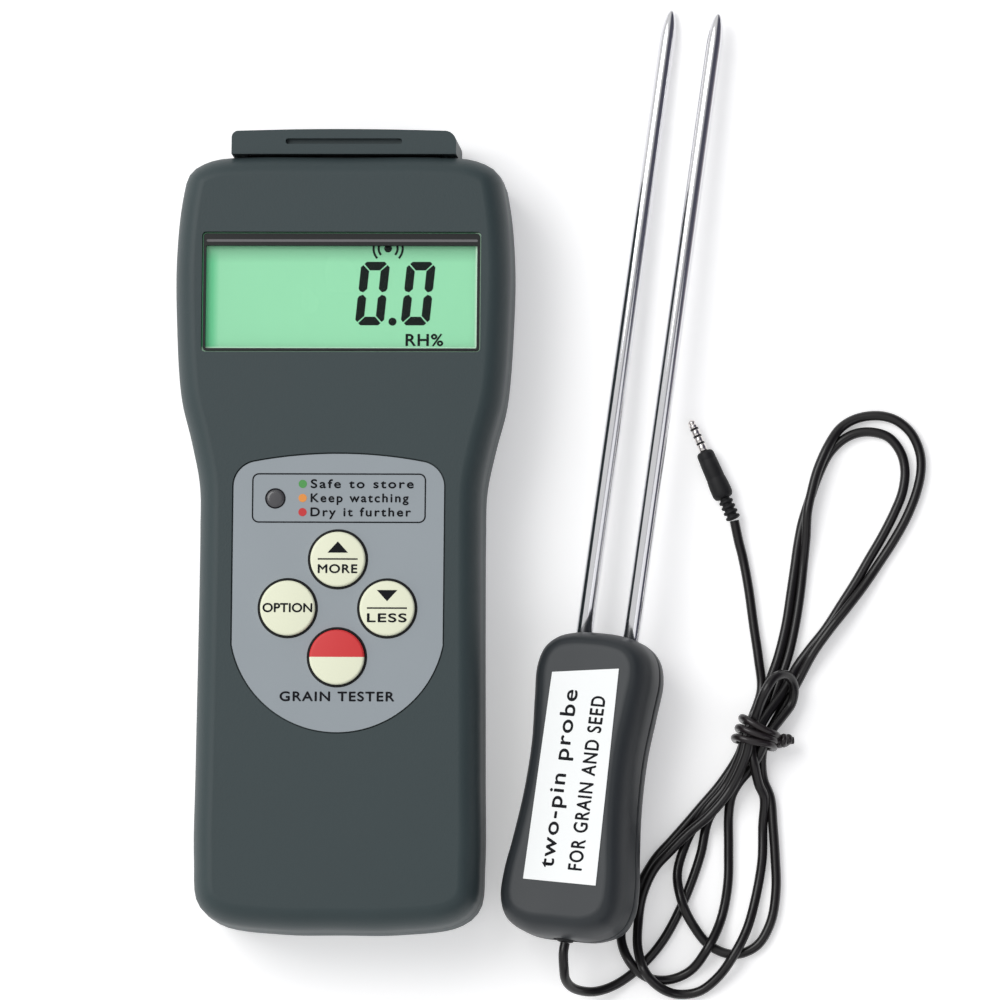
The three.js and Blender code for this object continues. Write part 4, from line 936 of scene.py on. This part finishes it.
ribs = [(radius, 0.3 + index * 1.15 + step) for index in range(4)
        for step, radius in ((0.02, 1.05), (0.14, 1.36), (0.3, 1.5), (0.6, 1.5), (0.76, 1.36), (0.88, 1.05))]
body_profile = [(0, 5.1), (1.5, 5.1), (1.85, 5.3), (2.1, 5.9), (2.14, 6.6), (2.1, 8.2), (1.98, 9.4), (1.9, 9.6),
                (1.94, 9.8), (1.9, 12.2), (1.86, 13.6), (1.8, 13.7), (1.84, 13.85), (1.8, 14.9), (1.68, 15.3),
                (1.4, 15.58), (0, 15.6)]
after = [start + BAND + 0.03 for start in BANDS]
core = [(0, 15.7), (0.4, 15.7)]
for start in BANDS:
    core += [(0.4, start), (CONTACT - 0.02, start), (CONTACT - 0.02, start + BAND), (0.4, start + BAND)]
core += [(0.4, 21.2), (0, 21.2)]


def sleeve(low, high):
    """Profile of a contact between two bands, with rounded edges."""
    edge = CONTACT - 0.06
    return [(0, low), (edge, low), (CONTACT, low + 0.06), (CONTACT, high - 0.06), (edge, high), (0, high)]


tip_profile = [(0, after[2]), (CONTACT - 0.06, after[2]), (CONTACT, after[2] + 0.06), (CONTACT, 21.4),
               (0.8, 21.6), (0.66, 21.75), (0.66, 21.85), (0.84, 22.0), (0.86, 22.1), (0.72, 22.4),
               (0.42, 22.72), (0, PLUG_LENGTH)]
plug_pieces = [
    plug_piece("relief", [(0, 0.3), *ribs, (1.05, 5), (0, 5)], plug_finish, "rubber", "plug_relief"),
    plug_piece("plug_grip", body_profile, plug_finish, "rubber", "plug_body"),
    plug_piece("bands", core, socket_finish, "rubber", "plug_core"),
    plug_piece("sleeve", sleeve(15.7, BANDS[0] - 0.03), plated, "plug_metal", "plug_sleeve"),
    plug_piece("ring_2", sleeve(after[0], BANDS[1] - 0.03), plated, "plug_metal", "plug_ring_2"),
    plug_piece("ring_1", sleeve(after[1], BANDS[2] - 0.03), plated, "plug_metal", "plug_ring_1"),
    plug_piece("tip", tip_profile, plated, "plug_metal", "plug_tip"),
]


# Stage: a pale floor that glows faintly, a large soft lamp from the upper left, a weaker one from the lower
# right, and a sky that is darker on the right, which the polished pins need to show their edges.
FLOOR_GLOW = 0.35


def stage_finish(name, colour):
    """A plain matt finish with no grain and a faint light of its own."""
    material = bpy.data.materials.new(name)
    material.use_nodes = True
    shader = material.node_tree.nodes["Principled BSDF"]
    shader.inputs["Base Color"].default_value = colour
    shader.inputs["Roughness"].default_value = 0.9
    shader.inputs["Specular IOR Level"].default_value = 0.0
    shader.inputs["Emission Color"].default_value = (1, 1, 1, 1)
    shader.inputs["Emission Strength"].default_value = FLOOR_GLOW
    return material


FLOOR_SIZE = 3
FLOOR_HEIGHT = -0.00005
corners = [(x * FLOOR_SIZE, y * FLOOR_SIZE, FLOOR_HEIGHT) for x, y in ((-1, -1), (1, -1), (1, 1), (-1, 1))]
floor_mesh = bpy.data.meshes.new("floor")
floor_mesh.from_pydata(corners, [], [[0, 1, 2, 3]])
floor_mesh.materials.append(stage_finish("floor", (0.9, 0.9, 0.9, 1)))
floor = bpy.data.objects.new("floor", floor_mesh)
bpy.context.scene.collection.objects.link(floor)

for name, place, size, watts in (
    ("key_lamp", (-0.7, 0.5, 1.3), 0.9, 11.0),
    ("fill_lamp", (0.9, -0.7, 1.2), 1.0, 3.0),
):
    lamp = bpy.data.lights.new(name, "AREA")
    lamp.size = size
    lamp.energy = watts
    holder = bpy.data.objects.new(name, lamp)
    holder.location = place
    holder.rotation_mode = "QUATERNION"
    holder.rotation_quaternion = (VIEW_CENTRE - Vector(place)).to_track_quat("-Z", "Y")
    bpy.context.scene.collection.objects.link(holder)

sky = bpy.data.worlds.new("sky")
bpy.context.scene.world = sky
sky.use_nodes = True
sky_nodes, sky_links = sky.node_tree.nodes, sky.node_tree.links
direction = sky_nodes.new("ShaderNodeTexCoord")
parts = sky_nodes.new("ShaderNodeSeparateXYZ")
ramp = sky_nodes.new("ShaderNodeValToRGB")
ramp.color_ramp.elements[0].position = 0.5
ramp.color_ramp.elements[0].color = (1, 1, 1, 1)
ramp.color_ramp.elements[1].position = 0.7
ramp.color_ramp.elements[1].color = (0.1, 0.1, 0.14, 1)
level = ramp.color_ramp.elements.new(0.95)
level.color = (0.12, 0.12, 0.16, 1)
last = ramp.color_ramp.elements.new(1.0)
last.color = (0.5, 0.46, 0.5, 1)
centred = sky_nodes.new("ShaderNodeMapRange")
centred.inputs["From Min"].default_value = -1
sky_links.new(direction.outputs["Generated"], parts.inputs["Vector"])
sky_links.new(parts.outputs["X"], centred.inputs["Value"])
sky_links.new(centred.outputs["Result"], ramp.inputs["Fac"])
sky_links.new(ramp.outputs["Color"], sky_nodes["Background"].inputs["Color"])
sky_nodes["Background"].inputs["Strength"].default_value = 0.8
bpy.context.scene.view_settings.view_transform = "Standard"
